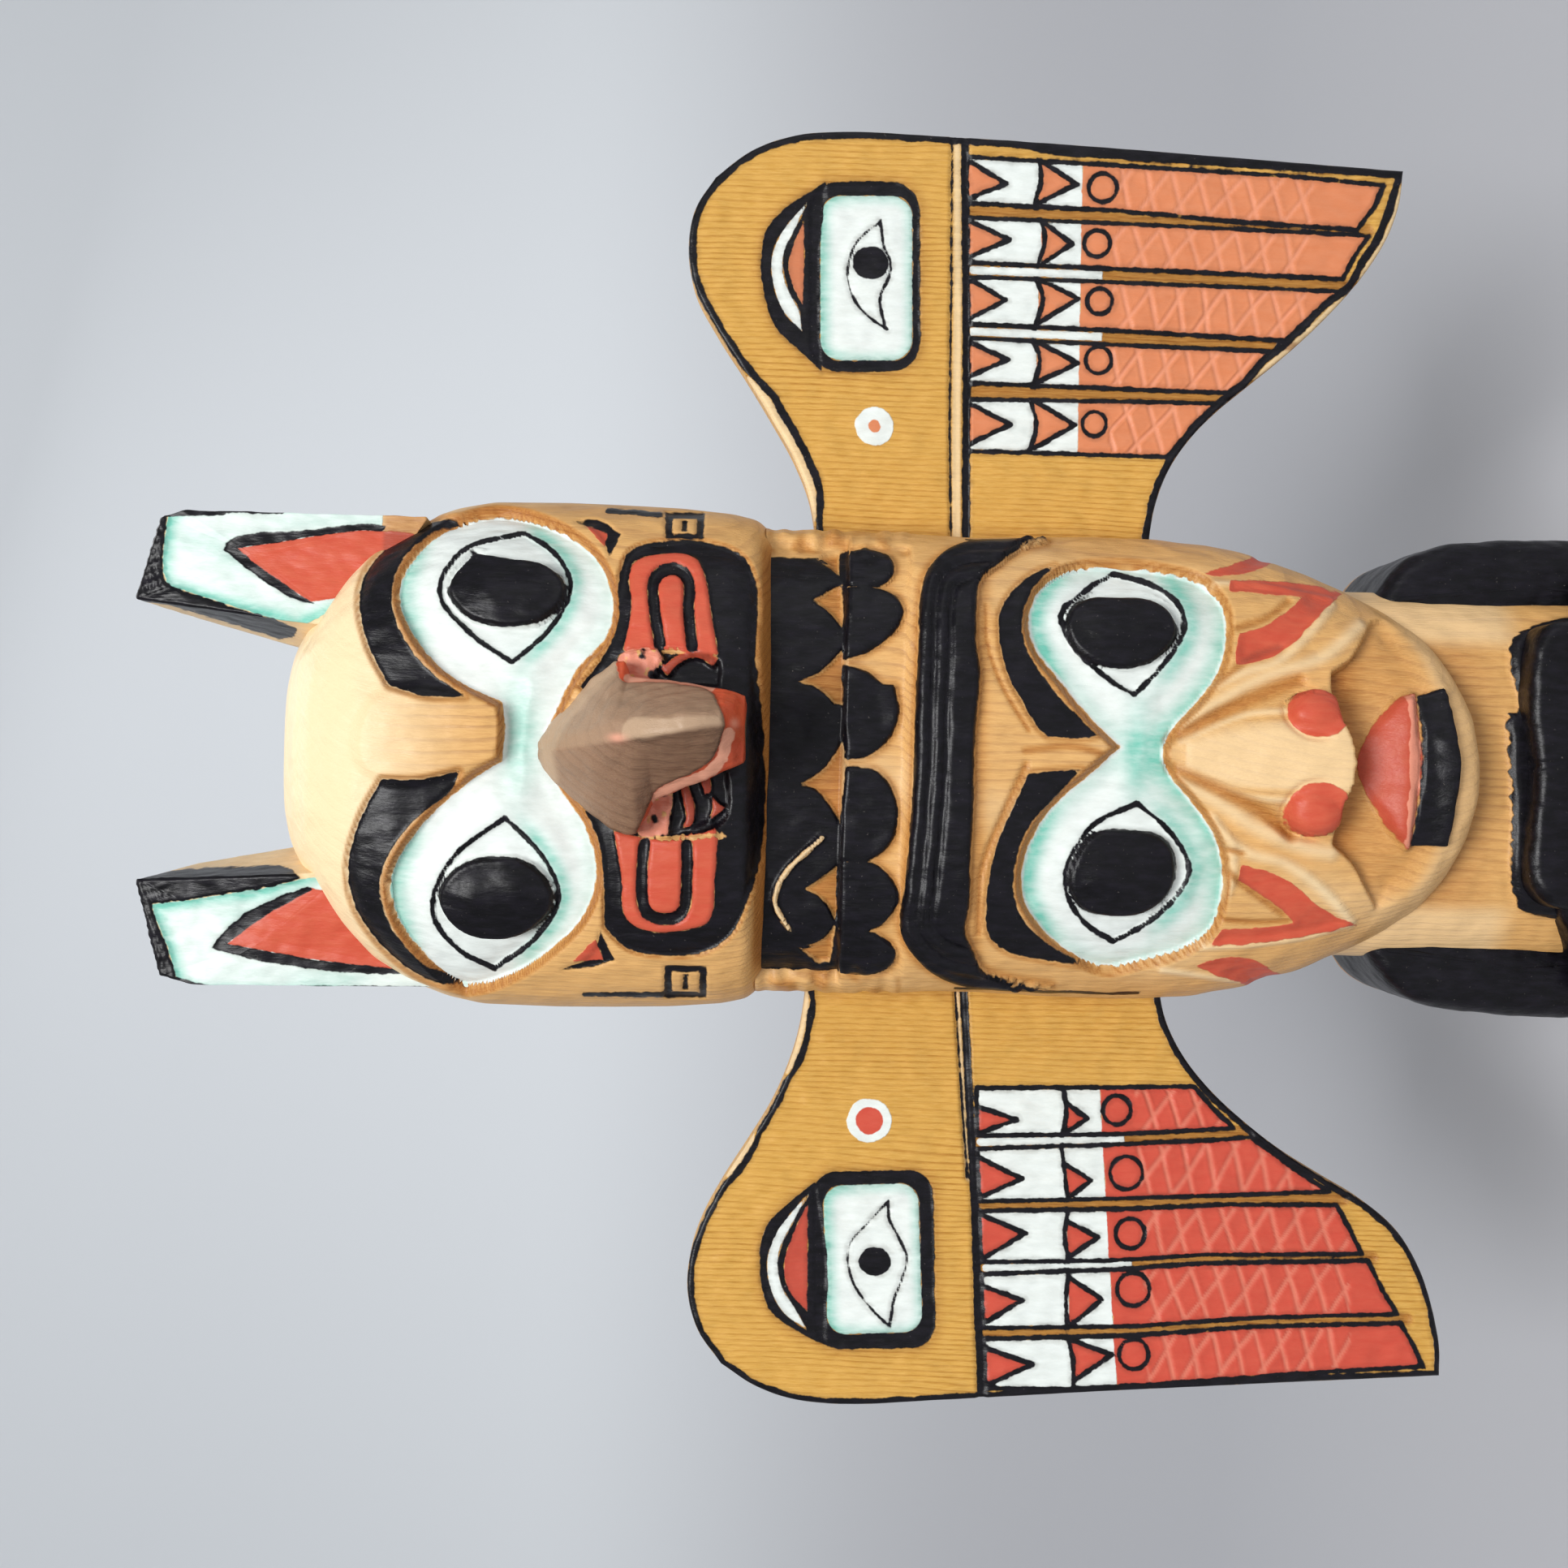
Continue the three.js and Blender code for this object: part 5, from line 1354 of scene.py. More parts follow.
            (12.9, 186.2, 1), (12, 183.2), (10.7, 181.2), (9.2, 179.8, 1), (9.2, 178, 1),
            (18.8, 178.4, 1), (16.6, 180.4), (14.2, 183),
        ],
        [
            (26.4, 184.1, 1), (25, 181.8), (23.2, 180), (21.4, 178.7, 1), (29.2, 179.2, 1),
            (28.4, 181), (27.3, 182.4),
        ],
        [(33, 183.6, 1), (31.9, 181.2), (30.6, 179.7, 1), (34.6, 179.8, 1), (34.4, 181.4)],
    ],
    "lowerFeathers": [
        [
            (-35.2, 179, 1), (-35.3, 173), (-34.2, 170), (-32.2, 168.7), (-30, 170), (-28.4, 172.8),
            (-28.2, 179, 1),
        ],
        [
            (-28.4, 179, 1), (-28, 172.8), (-26, 170), (-22.6, 168.5), (-19.4, 169.8), (-17, 172.6),
            (-16.8, 179, 1),
        ],
        [
            (-17, 179, 1), (-16.2, 172.8), (-13.5, 170), (-9, 169), (-4.6, 170), (-1.6, 172.8),
            (-0.9, 177.9, 1),
        ],
        [
            (0, 178, 1), (0.7, 174.6), (3.4, 171), (8, 169.2), (12.6, 170, 1), (13, 172.2),
            (14.7, 174.6), (16, 179, 1),
        ],
        [
            (16.4, 179, 1), (18, 174.8), (21, 170.8), (25, 168.8), (27.4, 170.2), (28.6, 173),
            (28.8, 179, 1),
        ],
        [(29, 179.4, 1), (28.9, 173.2), (31, 170.7), (33.4, 171), (34.7, 173.4), (34.6, 179.4, 1)],
    ],
    "maskDepth": 2.2,
    "bandRise": 1.9,
}


# Height and paint of the man's head, the headband and the bird's chest, as on the bird's head.
def carveMan(sheet, base, front):
    m = manHead
    sx, sz = sheet
    x = np.where(front, base[..., 0], offSheet)
    z = base[..., 2]
    real = (x, z)
    mask = within(sheet, smoothRing(m["mask"]))
    brow = withinAny(sheet, m["brows"])
    height = 0.12 * wander(x, z, 11, 2.0) + 0.07 * wander(x, z * 0.6, 5.2, 0.4)
    height = height * (1 - ease(mask, -1, 0.5))
    height = height - 0.35 * ease(brow, -0.5, 0.2)
    ridgeHighlight = np.zeros(sx.shape)
    # The amount near each proud ridge is kept for a painted highlight on it below.
    for line, width, rise in m["ridges"]:
        amount = nearLine(real, np.array(line), width) * (mask < 0.3)
        height = height + rise * amount
        ridgeHighlight = np.maximum(ridgeHighlight, amount)
    cutShade = np.zeros(sx.shape)
    # The amount near each gouge cut is kept for painted shade in the cut below.
    for line, width, depth in m["cuts"]:
        amount = nearLine(real, np.array(line), width) * (mask < 0.3)
        height = height - depth * amount
        cutShade = np.maximum(cutShade, amount)
    height = height - m["maskDepth"] * ease(mask, -1.3, 0.15) * (1 - 0.3 * ease(mask, 2, 7))
    pupil = np.full(sx.shape, far)
    lidLine = np.full(sx.shape, far)
    sclera = np.full(sx.shape, far)
    under = np.zeros(sx.shape)
    for shape in m["eyes"]:
        lids = within(sheet, smoothRing(shape["lids"]))
        disc = within(sheet, smoothRing(shape["pupil"]))
        pupil, sclera = union(pupil, disc), union(sclera, lids)
        lidLine = union(lidLine, 0.42 + 0.12 * wander(x, z, 6, 1.7) - np.abs(lids))
        under = np.maximum(under, np.exp(-(((lids + 1.2) / 1.6) ** 2)) * (1 - ease(sz, 125, 130)))
    height = height - 0.6 * ease(sclera, -0.15, 0.45) + 1.9 * ease(pupil, -0.35, 0.7) + 0.8 * ease(pupil, 0.3, 6)

    rows = np.array(m["nose"])[::-1]
    left, right, rise = [np.interp(z, rows[:, 0], rows[:, k]) for k in (1, 2, 3)]
    middle, half = (left + right) / 2, (right - left) / 2
    side = ease(1 - np.abs(x - middle) / half, -0.05, 0.62)
    footX, footZ = np.array(m["noseFoot"], float).T
    foot = z - np.interp(x, footX, footZ)
    noseHeight = rise * side
    nostril = np.full(sx.shape, far)
    bulb = np.zeros(sx.shape)
    for cx, cz, rx, rz in m["nostrils"]:
        d = np.hypot((x - cx) / rx, (z - cz) / rz)
        nostril = union(nostril, (1 - d) * min(rx, rz))
        bulb = np.maximum(bulb, np.sqrt(np.maximum(1 - d**2, 0)))
    crease = np.exp(-((nostril + 0.25) / 0.55) ** 2) * ease(z, 100, 103)
    noseHeight = np.where(nostril > 0, np.maximum(noseHeight, 2.2 + 2.9 * bulb), noseHeight)
    noseHeight = noseHeight - 0.7 * crease * (nostril > -2)
    noseHeight = noseHeight * ease(foot, -0.45, 0.35) * ease(124 - z, -2.5, 2)
    height = height + noseHeight
    muzzle = within(real, smoothRing(m["muzzle"]))
    crisp = ease(z, 86, 93)
    hollow = ease(muzzle, -0.25, 0.6) * crisp + ease(muzzle, -0.6, 4.5) * (1 - crisp)
    height = height - 2.7 * hollow * (0.45 + 0.55 * ease(z, 80, 96))
    lip = within(real, smoothRing(m["lip"]))
    mouth = within(real, smoothRing(m["mouth"]))
    lipRise = (0.4 + 2.6 * ease(93.8 - z, 0, 7)) * ease(lip, -0.8, 0.8)
    roll = ease(87.4 - z, 0, 2.2)
    height = height + lipRise - 0.9 * roll * ease(lip, -0.2, 0.3)
    mouthRise = 2.5 - 0.07 * np.abs(x - 1.7) - lipRise
    height = np.where(mouth > -0.6, height + mouthRise * ease(mouth, -0.3, 0.25), height)
    cheek = withinAny(sheet, m["cheeks"])
    height = height - 0.45 * ease(cheek, -0.5, 1.2)

    chest = shifted(sheet, m["sheet"], m["chestSheet"])
    cx, cz = chest
    band = within(chest, smoothRing(m["band"]))
    rib = -stroke(chest, smoothRing(m["bandTop"], 4, closed=False), 0)
    waves = rib + 0.25 * wander(cx, cz, 22, 3.3)
    ribs = np.abs(np.sin(waves / 2.62 * math.pi)) ** 0.7
    bandHeight = (m["bandRise"] - 0.9 + 0.95 * ribs) * ease(167.9 - cz + 40 * (band > 0), -1, 1)
    height = height + ease(band, -0.5, 0.5) * bandHeight
    lineEnd = np.where(base[..., 0] < 0, *m["templeEnds"])
    temple = 0.8 - np.abs(base[..., 1] - m["templeY"]) + 0.2 * wander(x, z, 6, 2)
    temple = common(temple, z - lineEnd, 158 - z)
    curl = stroke(chest, smoothRing(m["curl"], closed=False), 0.75)
    height = height + 1.3 * ease(curl, -0.4, 0.5)
    upper = ease(cz, 178.0, 178.5)
    middlePart = ease(37.6 - np.abs(cx), 0, 2.5)
    gaps = withinAny(chest, m["upperGaps"])
    rowTwo = withinAny(chest, m["lowerFeathers"])
    leftEnd = cx + 35.2 + 0.5 * wander(cx, cz, 7, 1)
    onUpper = common(cz - 178.4, 192.5 - cz, leftEnd, 33.4 + ease(cz, 183, 181) - cx)
    inChest = ease(cz, 167.5, 168.5)
    height = height - 2.1 * upper * middlePart
    rowRise = 2 * ease(rowTwo, -0.3, 0.4) - 1
    height = height + 0.55 * inChest * (1 - upper) * rowRise * ease(36 - np.abs(cx), 0, 1)
    height = height - 0.9 * ease(gaps, -0.25, 0.45) * upper
    tool = np.sin(cx * 4.1 + 1.3 * np.sin(cx * 1.7)) * ease(gaps, 0, 0.5)
    height = height + 0.10 * tool * upper
    blocks = ease(np.abs(cx) - 33.6, 0, 1) * inChest
    height = height + 0.35 * blocks * wander(cx, cz * 1.4, 5, 7.7)
    feathers = union(common(onUpper, -gaps, -curl), common(rowTwo, 178.9 - cz))
    black = union(brow, pupil, lidLine, mouth, band, temple, feathers)

    edge = ease(-mask, -4.2, -0.2) * ease(mask, -0.3, 0.1)
    mint = 0.95 * edge * ease(sz, 141, 147) + 0.35 * edge
    bridge = np.exp(-(((sx - 2) / 8) ** 2) - ((sz - 130.6) / 2.6) ** 2)
    lowEdge = edge * (1 - ease(np.abs(sx), 20, 30)) * (1 - ease(sz, 128, 134))
    mint = np.clip(mint + 0.85 * bridge * ease(mask, 0, 1) + 0.8 * under + 0.5 * lowEdge, 0, 1)
    mint = mint * ease(mask, 0, 0.5) * (1 - ease(sclera, -0.2, 0.2))
    # Stains and painted shade: painted shade on the carved walls round the mask and brows, in the gouge cuts, in the
    # hollow under the nose and most under its edge, round the lower row of feathers, in the gaps of the upper row under
    # the bird's chin, in a line under the headband and round its edge; the side blocks of the chest are darker in
    # patches.
    stainAndShade = 0.8 * ease(mask, -1.5, -0.9) * (1 - ease(mask, -0.25, 0.1))
    stainAndShade = np.maximum(stainAndShade, 0.5 * ease(brow, -1.1, -0.4) * (1 - ease(brow, -0.2, 0.1)))
    stainAndShade = np.maximum(stainAndShade, 0.75 * cutShade)
    stainAndShade = np.maximum(stainAndShade, hollow * (0.35 + 0.5 * ease(z, 92, 98)))
    roundFeather = ease(-rowTwo, 0, 0.5) * ease(1.6 + rowTwo, 0, 1.6)
    stainAndShade = np.maximum(stainAndShade, 0.55 * (1 - upper) * inChest * roundFeather)
    stainAndShade = np.maximum(stainAndShade, 0.75 * upper * ease(gaps, 0, 0.5))
    stainAndShade = np.maximum(stainAndShade, 0.6 * blocks * ease(wander(cx, cz, 6, 5.2), -0.1, 0.5))
    stainAndShade = np.maximum(stainAndShade, 0.45 * np.exp(-((cz - 155.6) / 1.2) ** 2) * ease(34 - np.abs(cx), 0, 3))
    stainAndShade = np.maximum(stainAndShade, 0.6 * (ease(band, -1.6, -0.2) - ease(band, -0.2, 0)))
    # Painted light: a painted highlight along the ledge between the rows of feathers, on the proud ridges and down the
    # nose; the wood is also paler on the shaving, low on the face outside the hollow, and at random.
    ledge = np.exp(-((cz - 178.35) / 0.5) ** 2) * ease(34.6 - np.abs(cx), 0, 1) * ease(gaps, -1.5, -0.2)
    paleAndLit = 0.55 * ridgeHighlight + 0.25 + 0.35 * ease(wander(x, z * 0.5, 26, 9), 0.1, 0.9)
    paleAndLit = np.maximum(paleAndLit, np.maximum(0.95 * ledge, ease(curl, -0.2, 0.2)))
    noseRidge = (np.abs(x - 2.4) < 7) * ease(6.4 - np.abs(x - 2.4), 0, 1.4)
    paleAndLit = np.maximum(paleAndLit, 0.75 * side * ease(foot, 0, 1) * (z < 123) * noseRidge)
    paleAndLit = np.maximum(paleAndLit, 0.5 * ease(92 - z, 0, 10) * (1 - hollow))
    pinkEdge = common(lip, 87.3 + 0.25 * wander(x, z, 4, 2) - z, -mouth - 0.05)
    red = union(lip, common(nostril, foot), cheek + 0.15 * wander(x, z, 5, 6))
    paint = {
        "white": common(mask, 0.3 - pupil), "mint": mint, "red": red, "pink": pinkEdge, "black": black,
        "paleAndLit": np.clip(paleAndLit, 0, 1) * (1 - stainAndShade), "stainAndShade": stainAndShade,
    }
    return height, paint


# Rows of the skin from the man's chin up to the bird's chin, carved, and closed at both ends.
def makeMan():
    m = manHead
    z = np.arange(m["stations"][0][0], m["stations"][-1][0], m["rowStep"])
    points, columns = skin(m["stations"], z, np.interp(z, [120, 170], [2.6, 3.0])[:, None], m["spacing"])
    moved, paint = carvedSkin(points, columns, carveMan, m["sheet"])
    closedLoft("man_head_and_bird_chest", moved, paint, carvedWood)


makeMan()

# Beak.

beakShape = {
    "rows": [  # height; x and y of the left edge; x and y of the ridge, its width; x and y of the right edge
        (194.3, -1.2, -42.2, 4.2, -44.6, 1.5, 9.2, -42.6),
        (195.8, -1.9, -42.8, 4.4, -48.2, 1.7, 9.7, -43),
        (197.4, -2.6, -42.6, 4.4, -50.6, 1.8, 10.1, -42.8),
        (200, -4.0, -41, 4.0, -51.4, 1.9, 10.5, -41.6),
        (203, -5.0, -39.4, 3.5, -51.6, 2.1, 11.0, -40), (206, -6.4, -37.8, 3.0, -50.8, 2.3, 11.5, -38.4),
        (208.5, -7.2, -36.6, 2.6, -49.7, 2.4, 11.8, -37),
        (209.3, -9.2, -35.2, 2.5, -49.3, 2.5, 11.9, -36.6),
        (211.2, -12.6, -33.6, 2.3, -48, 2.5, 12.1, -35.4),
        (213.0, -12.8, -32.6, 2.1, -46.6, 2.5, 12.4, -34.6),
        (213.8, -12.6, -32.2, 2.0, -46, 2.4, 14.9, -32.4),
        (215.2, -12.2, -31.6, 1.8, -44.8, 2.3, 14.9, -31.6),
        (217.2, -10.8, -31, 1.4, -42.8, 2.0, 13.3, -30.9),
        (219.2, -9.4, -30.4, 1.1, -40.6, 1.6, 11.9, -30.3),
        (221.8, -7.4, -29.7, 0.7, -37.6, 1.2, 8.9, -29.6), (224, -5.4, -29.1, 0.4, -34.8, 0.8, 6.6, -29),
        (225.6, -4.1, -28.6, 0.2, -32.2, 0.6, 4.9, -28.6),
        (227, -2.5, -28, 0.1, -29.6, 0.5, 3.0, -28), (227.9, -1, -27.2, 0, -27.6, 0.4, 1.4, -27.2),
    ],
    "sheet": 4,
    "rear": -25.0,
    "horn": [
        (-4.6, 225.8), (-3, 227.6), (0, 229), (3, 228.6), (6, 226.6), (8.6, 224), (13.6, 220),
        (16.2, 216, 1), (14, 215.7), (12.2, 215.1),
        (11.7, 214, 1), (12, 211), (11.9, 208), (11.5, 204), (10.9, 201), (10.1, 199.8, 1),
        (7, 198.4), (5.5, 198), (3, 198.6), (1, 199.2),
        (-0.7, 200.4), (-2, 202), (-3.1, 204), (-4.1, 206.4), (-5, 208), (-6.3, 209.5, 1),
        (-8, 210.2), (-10.2, 211), (-12, 211.7), (-14, 212.6, 1),
        (-13.4, 216), (-10.5, 220), (-8, 222.8),
    ],
    "gleam": [
        (2.4, 214.4, 1), (4.2, 214.6), (5.6, 213.6), (5.9, 208), (6.5, 203), (6.7, 199, 1),
        (5.4, 198.6, 1), (4.9, 202), (4, 206), (3.1, 210),
    ],
    "paleRim": [(-4.2, 226), (0, 226.9), (3.8, 225.7), (8, 222.6), (12, 219), (14.4, 216.4)],
    "pinkEdge": [
        (-7, 209), (-5.5, 207.2), (-4.3, 204.2), (-3.2, 201.2), (-1.4, 199.3), (1, 198), (4, 197.4),
    ],
    "ridgeShade": [(2.2, 216), (2.7, 211), (3.7, 206), (4.9, 199)],
    "rightEdge": [(12.4, 214), (12.5, 209), (12.2, 204), (11.4, 200.6)],
}


# Level rows: back along each side, a facet from each edge up to the ridge, and a narrow flat ridge.
# The rows and the points in each are softened by a short running mean.
def makeBeak():
    b = beakShape
    z = np.linspace(b["rows"][0][0], b["rows"][-1][0], 190)
    rows = np.array(b["rows"])
    kernel = np.array([1, 2, 3, 2, 1]) / 9
    columns = [np.interp(z, rows[:, 0], rows[:, k]) for k in range(1, 8)]
    columns = [np.convolve(np.pad(c, 2, mode="edge"), kernel, "valid")[:, None] for c in columns]
    leftX, leftY, ridgeX, ridgeY, width, rightX, rightY = columns
    rear = np.full(leftX.shape, b["rear"])
    corners = [
        (leftX + 1.2, rear), (leftX, leftY), (ridgeX, ridgeY),
        (ridgeX + width, ridgeY + 0.35), (rightX, rightY), (rightX - 1.2, rear),
    ]
    sideSteps, facetSteps, ridgeSteps = 12, 26, 9
    steps = (sideSteps, facetSteps, ridgeSteps, facetSteps, sideSteps)
    parts = []
    for (ax, ay), (bx, by), count in zip(corners[:-1], corners[1:], steps):
        t = np.linspace(0, 1, count, endpoint=False)[None]
        bulge = 0.5 * np.sin(t * math.pi) * (count == facetSteps)
        level = np.repeat(z[:, None], count, axis=1)
        parts.append(np.stack([ax + (bx - ax) * t, ay + (by - ay) * t - bulge, level], axis=-1))
    points = np.concatenate(parts, axis=1)
    soft = sum(w * np.roll(points, k - 2, axis=1) for k, w in enumerate(kernel))
    middle = slice(3, -3)
    points[:, middle] = 0.35 * points[:, middle] + 0.65 * soft[:, middle]
    sheet = onSheet(points[..., 0], points[..., 1], points[..., 2], b["sheet"])
    sx, sz = sheet
    horn, gleam = within(sheet, smoothRing(b["horn"])), within(sheet, smoothRing(b["gleam"]))
    front = points[..., 1] < -27.5
    knife = 0.16 * np.abs(wander(sx, sz, 7, 3.1)) + 0.07 * wander(sx, sz * 0.5, 2.2, 1.4)
    points = points + outward(points) * (knife + 0.25 * ease(horn, -0.2, 0.3) * ease(sz, 196, 199))[..., None]
    # Painted light and shade: the facet right of the ridge is paler and the left one darker, as the light falls; the
    # gleam is a painted highlight down the ridge; the beak also pales towards its root and along a band by its upper
    # edge.
    ridge = np.interp(sz, [198, 206, 214, 226], [5.2, 3.9, 2.5, 0.5])
    right = ease(sx - ridge, -0.3, 0.3)
    rim = nearLine(sheet, np.array(b["paleRim"]), 2.0) * ease(sz - 0.5 * np.abs(sx), 203, 211)
    leftEdge = stroke(sheet, smoothRing(b["pinkEdge"], closed=False), 1.9)
    edges = union(leftEdge, stroke(sheet, smoothRing(b["rightEdge"], closed=False), 1.7))
    low = common(-horn, np.where(front, 1.0, far), 216 - sz)
    shine = ease(gleam, -0.25, 0.3) * (0.5 + 0.5 * ease(sz, 203, 210))
    paleAndLit = np.clip(0.9 * rim + 0.34 * right + shine + 0.25 * ease(sz, 214, 224), 0, 1)
    # Painted shade in the crease beside the ridge and on the left facet; the horn is also darker along its lower edges.
    hornEdgeDark = 0.6 * ease(horn, -0.3, 0) * (1 - ease(horn, 0.1, 0.7)) * ease(-sz, -214, -211)
    shade = 0.42 * (1 - right) * ease(-sz, -222, -206)
    besideRidge = 0.4 * nearLine(sheet, np.array(b["ridgeShade"]), 0.8)
    upperChip = np.exp(-(((sx - 2.8) / 0.6) ** 2) - ((sz - 215.4) / 1.4) ** 2)
    lowerChip = np.exp(-(((sx - 5.6) / 0.8) ** 2) - ((sz - 196.4) / 0.7) ** 2)
    paint = {
        "red": low, "pink": common(low, edges + 0.2 * wander(sx, sz, 3, 1)),
        "paleAndLit": paleAndLit * (horn > -0.2),
        "stainAndShade": np.clip(hornEdgeDark + shade + besideRidge, 0, 1),
        "cut": np.maximum(upperChip, lowerChip) * 2,
    }
    closedLoft("beak", points, paint, beakWood)


makeBeak()

# Ears.

earShape = {
    "sheet": 8,
    "cornerRadius": 0.6,
    "faceRows": 66,
    "sideRows": 44,
    "rearRows": 12,
    "spillFrom": 291,  # black paint runs over the end above this height
    "pair": [
        {
            "name": "ear_left",
            "side": -1,
            "front": [
                (-40.6, 238, -12.5), (-21, 262, -17.5), (-23.4, 299.6, -12.5), (-39.8, 295.3, -12),
                (-41.4, 289.4, -12.5),
            ],
            "rear": [(-38, 238, 8), (-15, 262, 6), (-21.4, 295, 3), (-38.4, 291.4, 3), (-39.4, 286.5, 4)],
            "field": [
                (-41.5, 238), (-41.5, 285), (-40.2, 288.2), (-38.8, 288.8), (-34, 290.3),
                (-29, 292.5), (-27, 293.2), (-26.7, 292),
                (-26, 287), (-24.7, 280), (-23.8, 275), (-22.3, 269.2), (-21, 262), (-30, 238),
            ],
            "stripe": [
                (-26.8, 293), (-26, 287), (-24.7, 280), (-23.8, 275), (-22.3, 269.2), (-21.9, 268.4),
                (-20.3, 270.2), (-19.9, 272),
                (-20.1, 278), (-21, 288), (-21.7, 293), (-22.1, 301), (-43, 301), (-43, 289),
                (-39, 288.6), (-34, 290.3), (-29, 292.5),
            ],
            "outlines": [
                ([(-39.7, 244), (-39.9, 258), (-40.1, 268)], 0.5),
                ([(-40.6, 283.5), (-40.3, 286), (-39.3, 288.6)], 1.0),
            ],
            "red": [
                (-33.3, 280.5), (-30, 276.5), (-27, 272.5), (-25.4, 269.5), (-23.6, 266.6),
                (-25, 258), (-36, 246), (-37, 251),
                (-36.4, 256), (-36, 261), (-35, 270), (-33.9, 276),
            ],
            "spear": [
                (-34, 283.2), (-31, 281), (-28, 277.5), (-26, 274), (-24.5, 270.5), (-23.3, 267),
                (-23.8, 266.4), (-25.8, 269.8),
                (-27.5, 272.8), (-30.2, 276.7), (-33.2, 280.4), (-34.2, 274), (-35.4, 267),
                (-36.1, 260), (-36.7, 252), (-37.4, 249.2),
                (-37.7, 254), (-37.6, 261), (-36.8, 269), (-35.6, 277),
            ],
            "root": 240,
        },
        {
            "name": "ear_right",
            "side": 1,
            "front": [
                (20.2, 262, -17.5), (40, 250, -15), (40.6, 292.6, -12.5), (39.4, 297, -12),
                (25, 300.8, -12.5),
            ],
            "rear": [(14.5, 262, 6), (38, 250, 8), (39, 290, 4), (38, 294, 3), (23.6, 296.5, 3)],
            "field": [
                (19.8, 270), (21, 273), (22.6, 279), (24.4, 285), (26.2, 291), (27, 292),
                (28.6, 292.6), (32, 292.6), (36, 292.3),
                (38, 292), (41, 288), (41, 256.2), (35, 256.2), (24, 262),
            ],
            "stripe": [
                (26.2, 291), (24.4, 285), (22.6, 279), (21, 273), (19.8, 270), (18.3, 270.6),
                (18, 272.8), (18.9, 276), (20.5, 282),
                (22.5, 289), (23.8, 295), (23.8, 302), (42, 302), (42, 291.6), (38, 292), (36, 292.3),
                (32, 292.6), (28.6, 292.6), (27, 292),
            ],
            "outlines": [
                ([(38.5, 292.5), (38.8, 288), (39, 283)], 1.3),
                ([(39, 284), (39.1, 279), (39.1, 273)], 0.6),
            ],
            "red": [
                (32.8, 280.7), (30, 276.8), (27.2, 272.5), (24.4, 268), (26, 258), (36, 250),
                (36.4, 256.4), (36.5, 259), (35.8, 265),
                (35, 269), (33.9, 275),
            ],
            "spear": [
                (32.6, 282.6), (33.8, 282.3), (34.9, 280.6), (35.7, 277), (36.1, 270), (37, 264),
                (37.7, 258.5), (37.3, 255.6),
                (36.4, 256), (36.4, 260), (35.4, 267), (34, 274), (33, 280.4), (30.4, 277.3),
                (27.8, 273.3), (25.4, 269.8), (24, 267.2),
                (24.3, 269.6), (25.8, 273), (28.4, 277), (31, 280.8),
            ],
            "root": 256.2,
        },
    ],
}


# The outline through the corners, each corner a short curve, and the depth between corners
# in a straight line.
def roundedFace(corners):
    flat = np.array([c[:2] for c in corners], float)
    depth = np.array([c[2] for c in corners], float)
    before, after = np.roll(flat, 1, axis=0) - flat, np.roll(flat, -1, axis=0) - flat
    shortest = np.minimum(np.linalg.norm(before, axis=1), np.linalg.norm(after, axis=1))
    radius = np.minimum(earShape["cornerRadius"], 0.3 * shortest)[:, None]
    start = flat + before / np.linalg.norm(before, axis=1, keepdims=True) * radius
    end = flat + after / np.linalg.norm(after, axis=1, keepdims=True) * radius
    t = np.linspace(0, 1, 5)[None, :, None]
    bends = (1 - t) ** 2 * start[:, None] + 2 * t * (1 - t) * flat[:, None] + t**2 * end[:, None]
    u = np.linspace(0, 1, 46)[None, 1:-1, None]
    sides = end[:, None] + (np.roll(start, -1, axis=0) - end)[:, None] * u
    line = np.concatenate([bends, sides], axis=1).reshape(-1, 2)
    slope = (np.roll(depth, -1) - depth)[:, None]
    deep = np.concatenate([np.repeat(depth[:, None], 5, axis=1), depth[:, None] + slope * u[:, :, 0]], axis=1)
    return np.column_stack([line[:, 0], deep.reshape(-1), line[:, 1]])


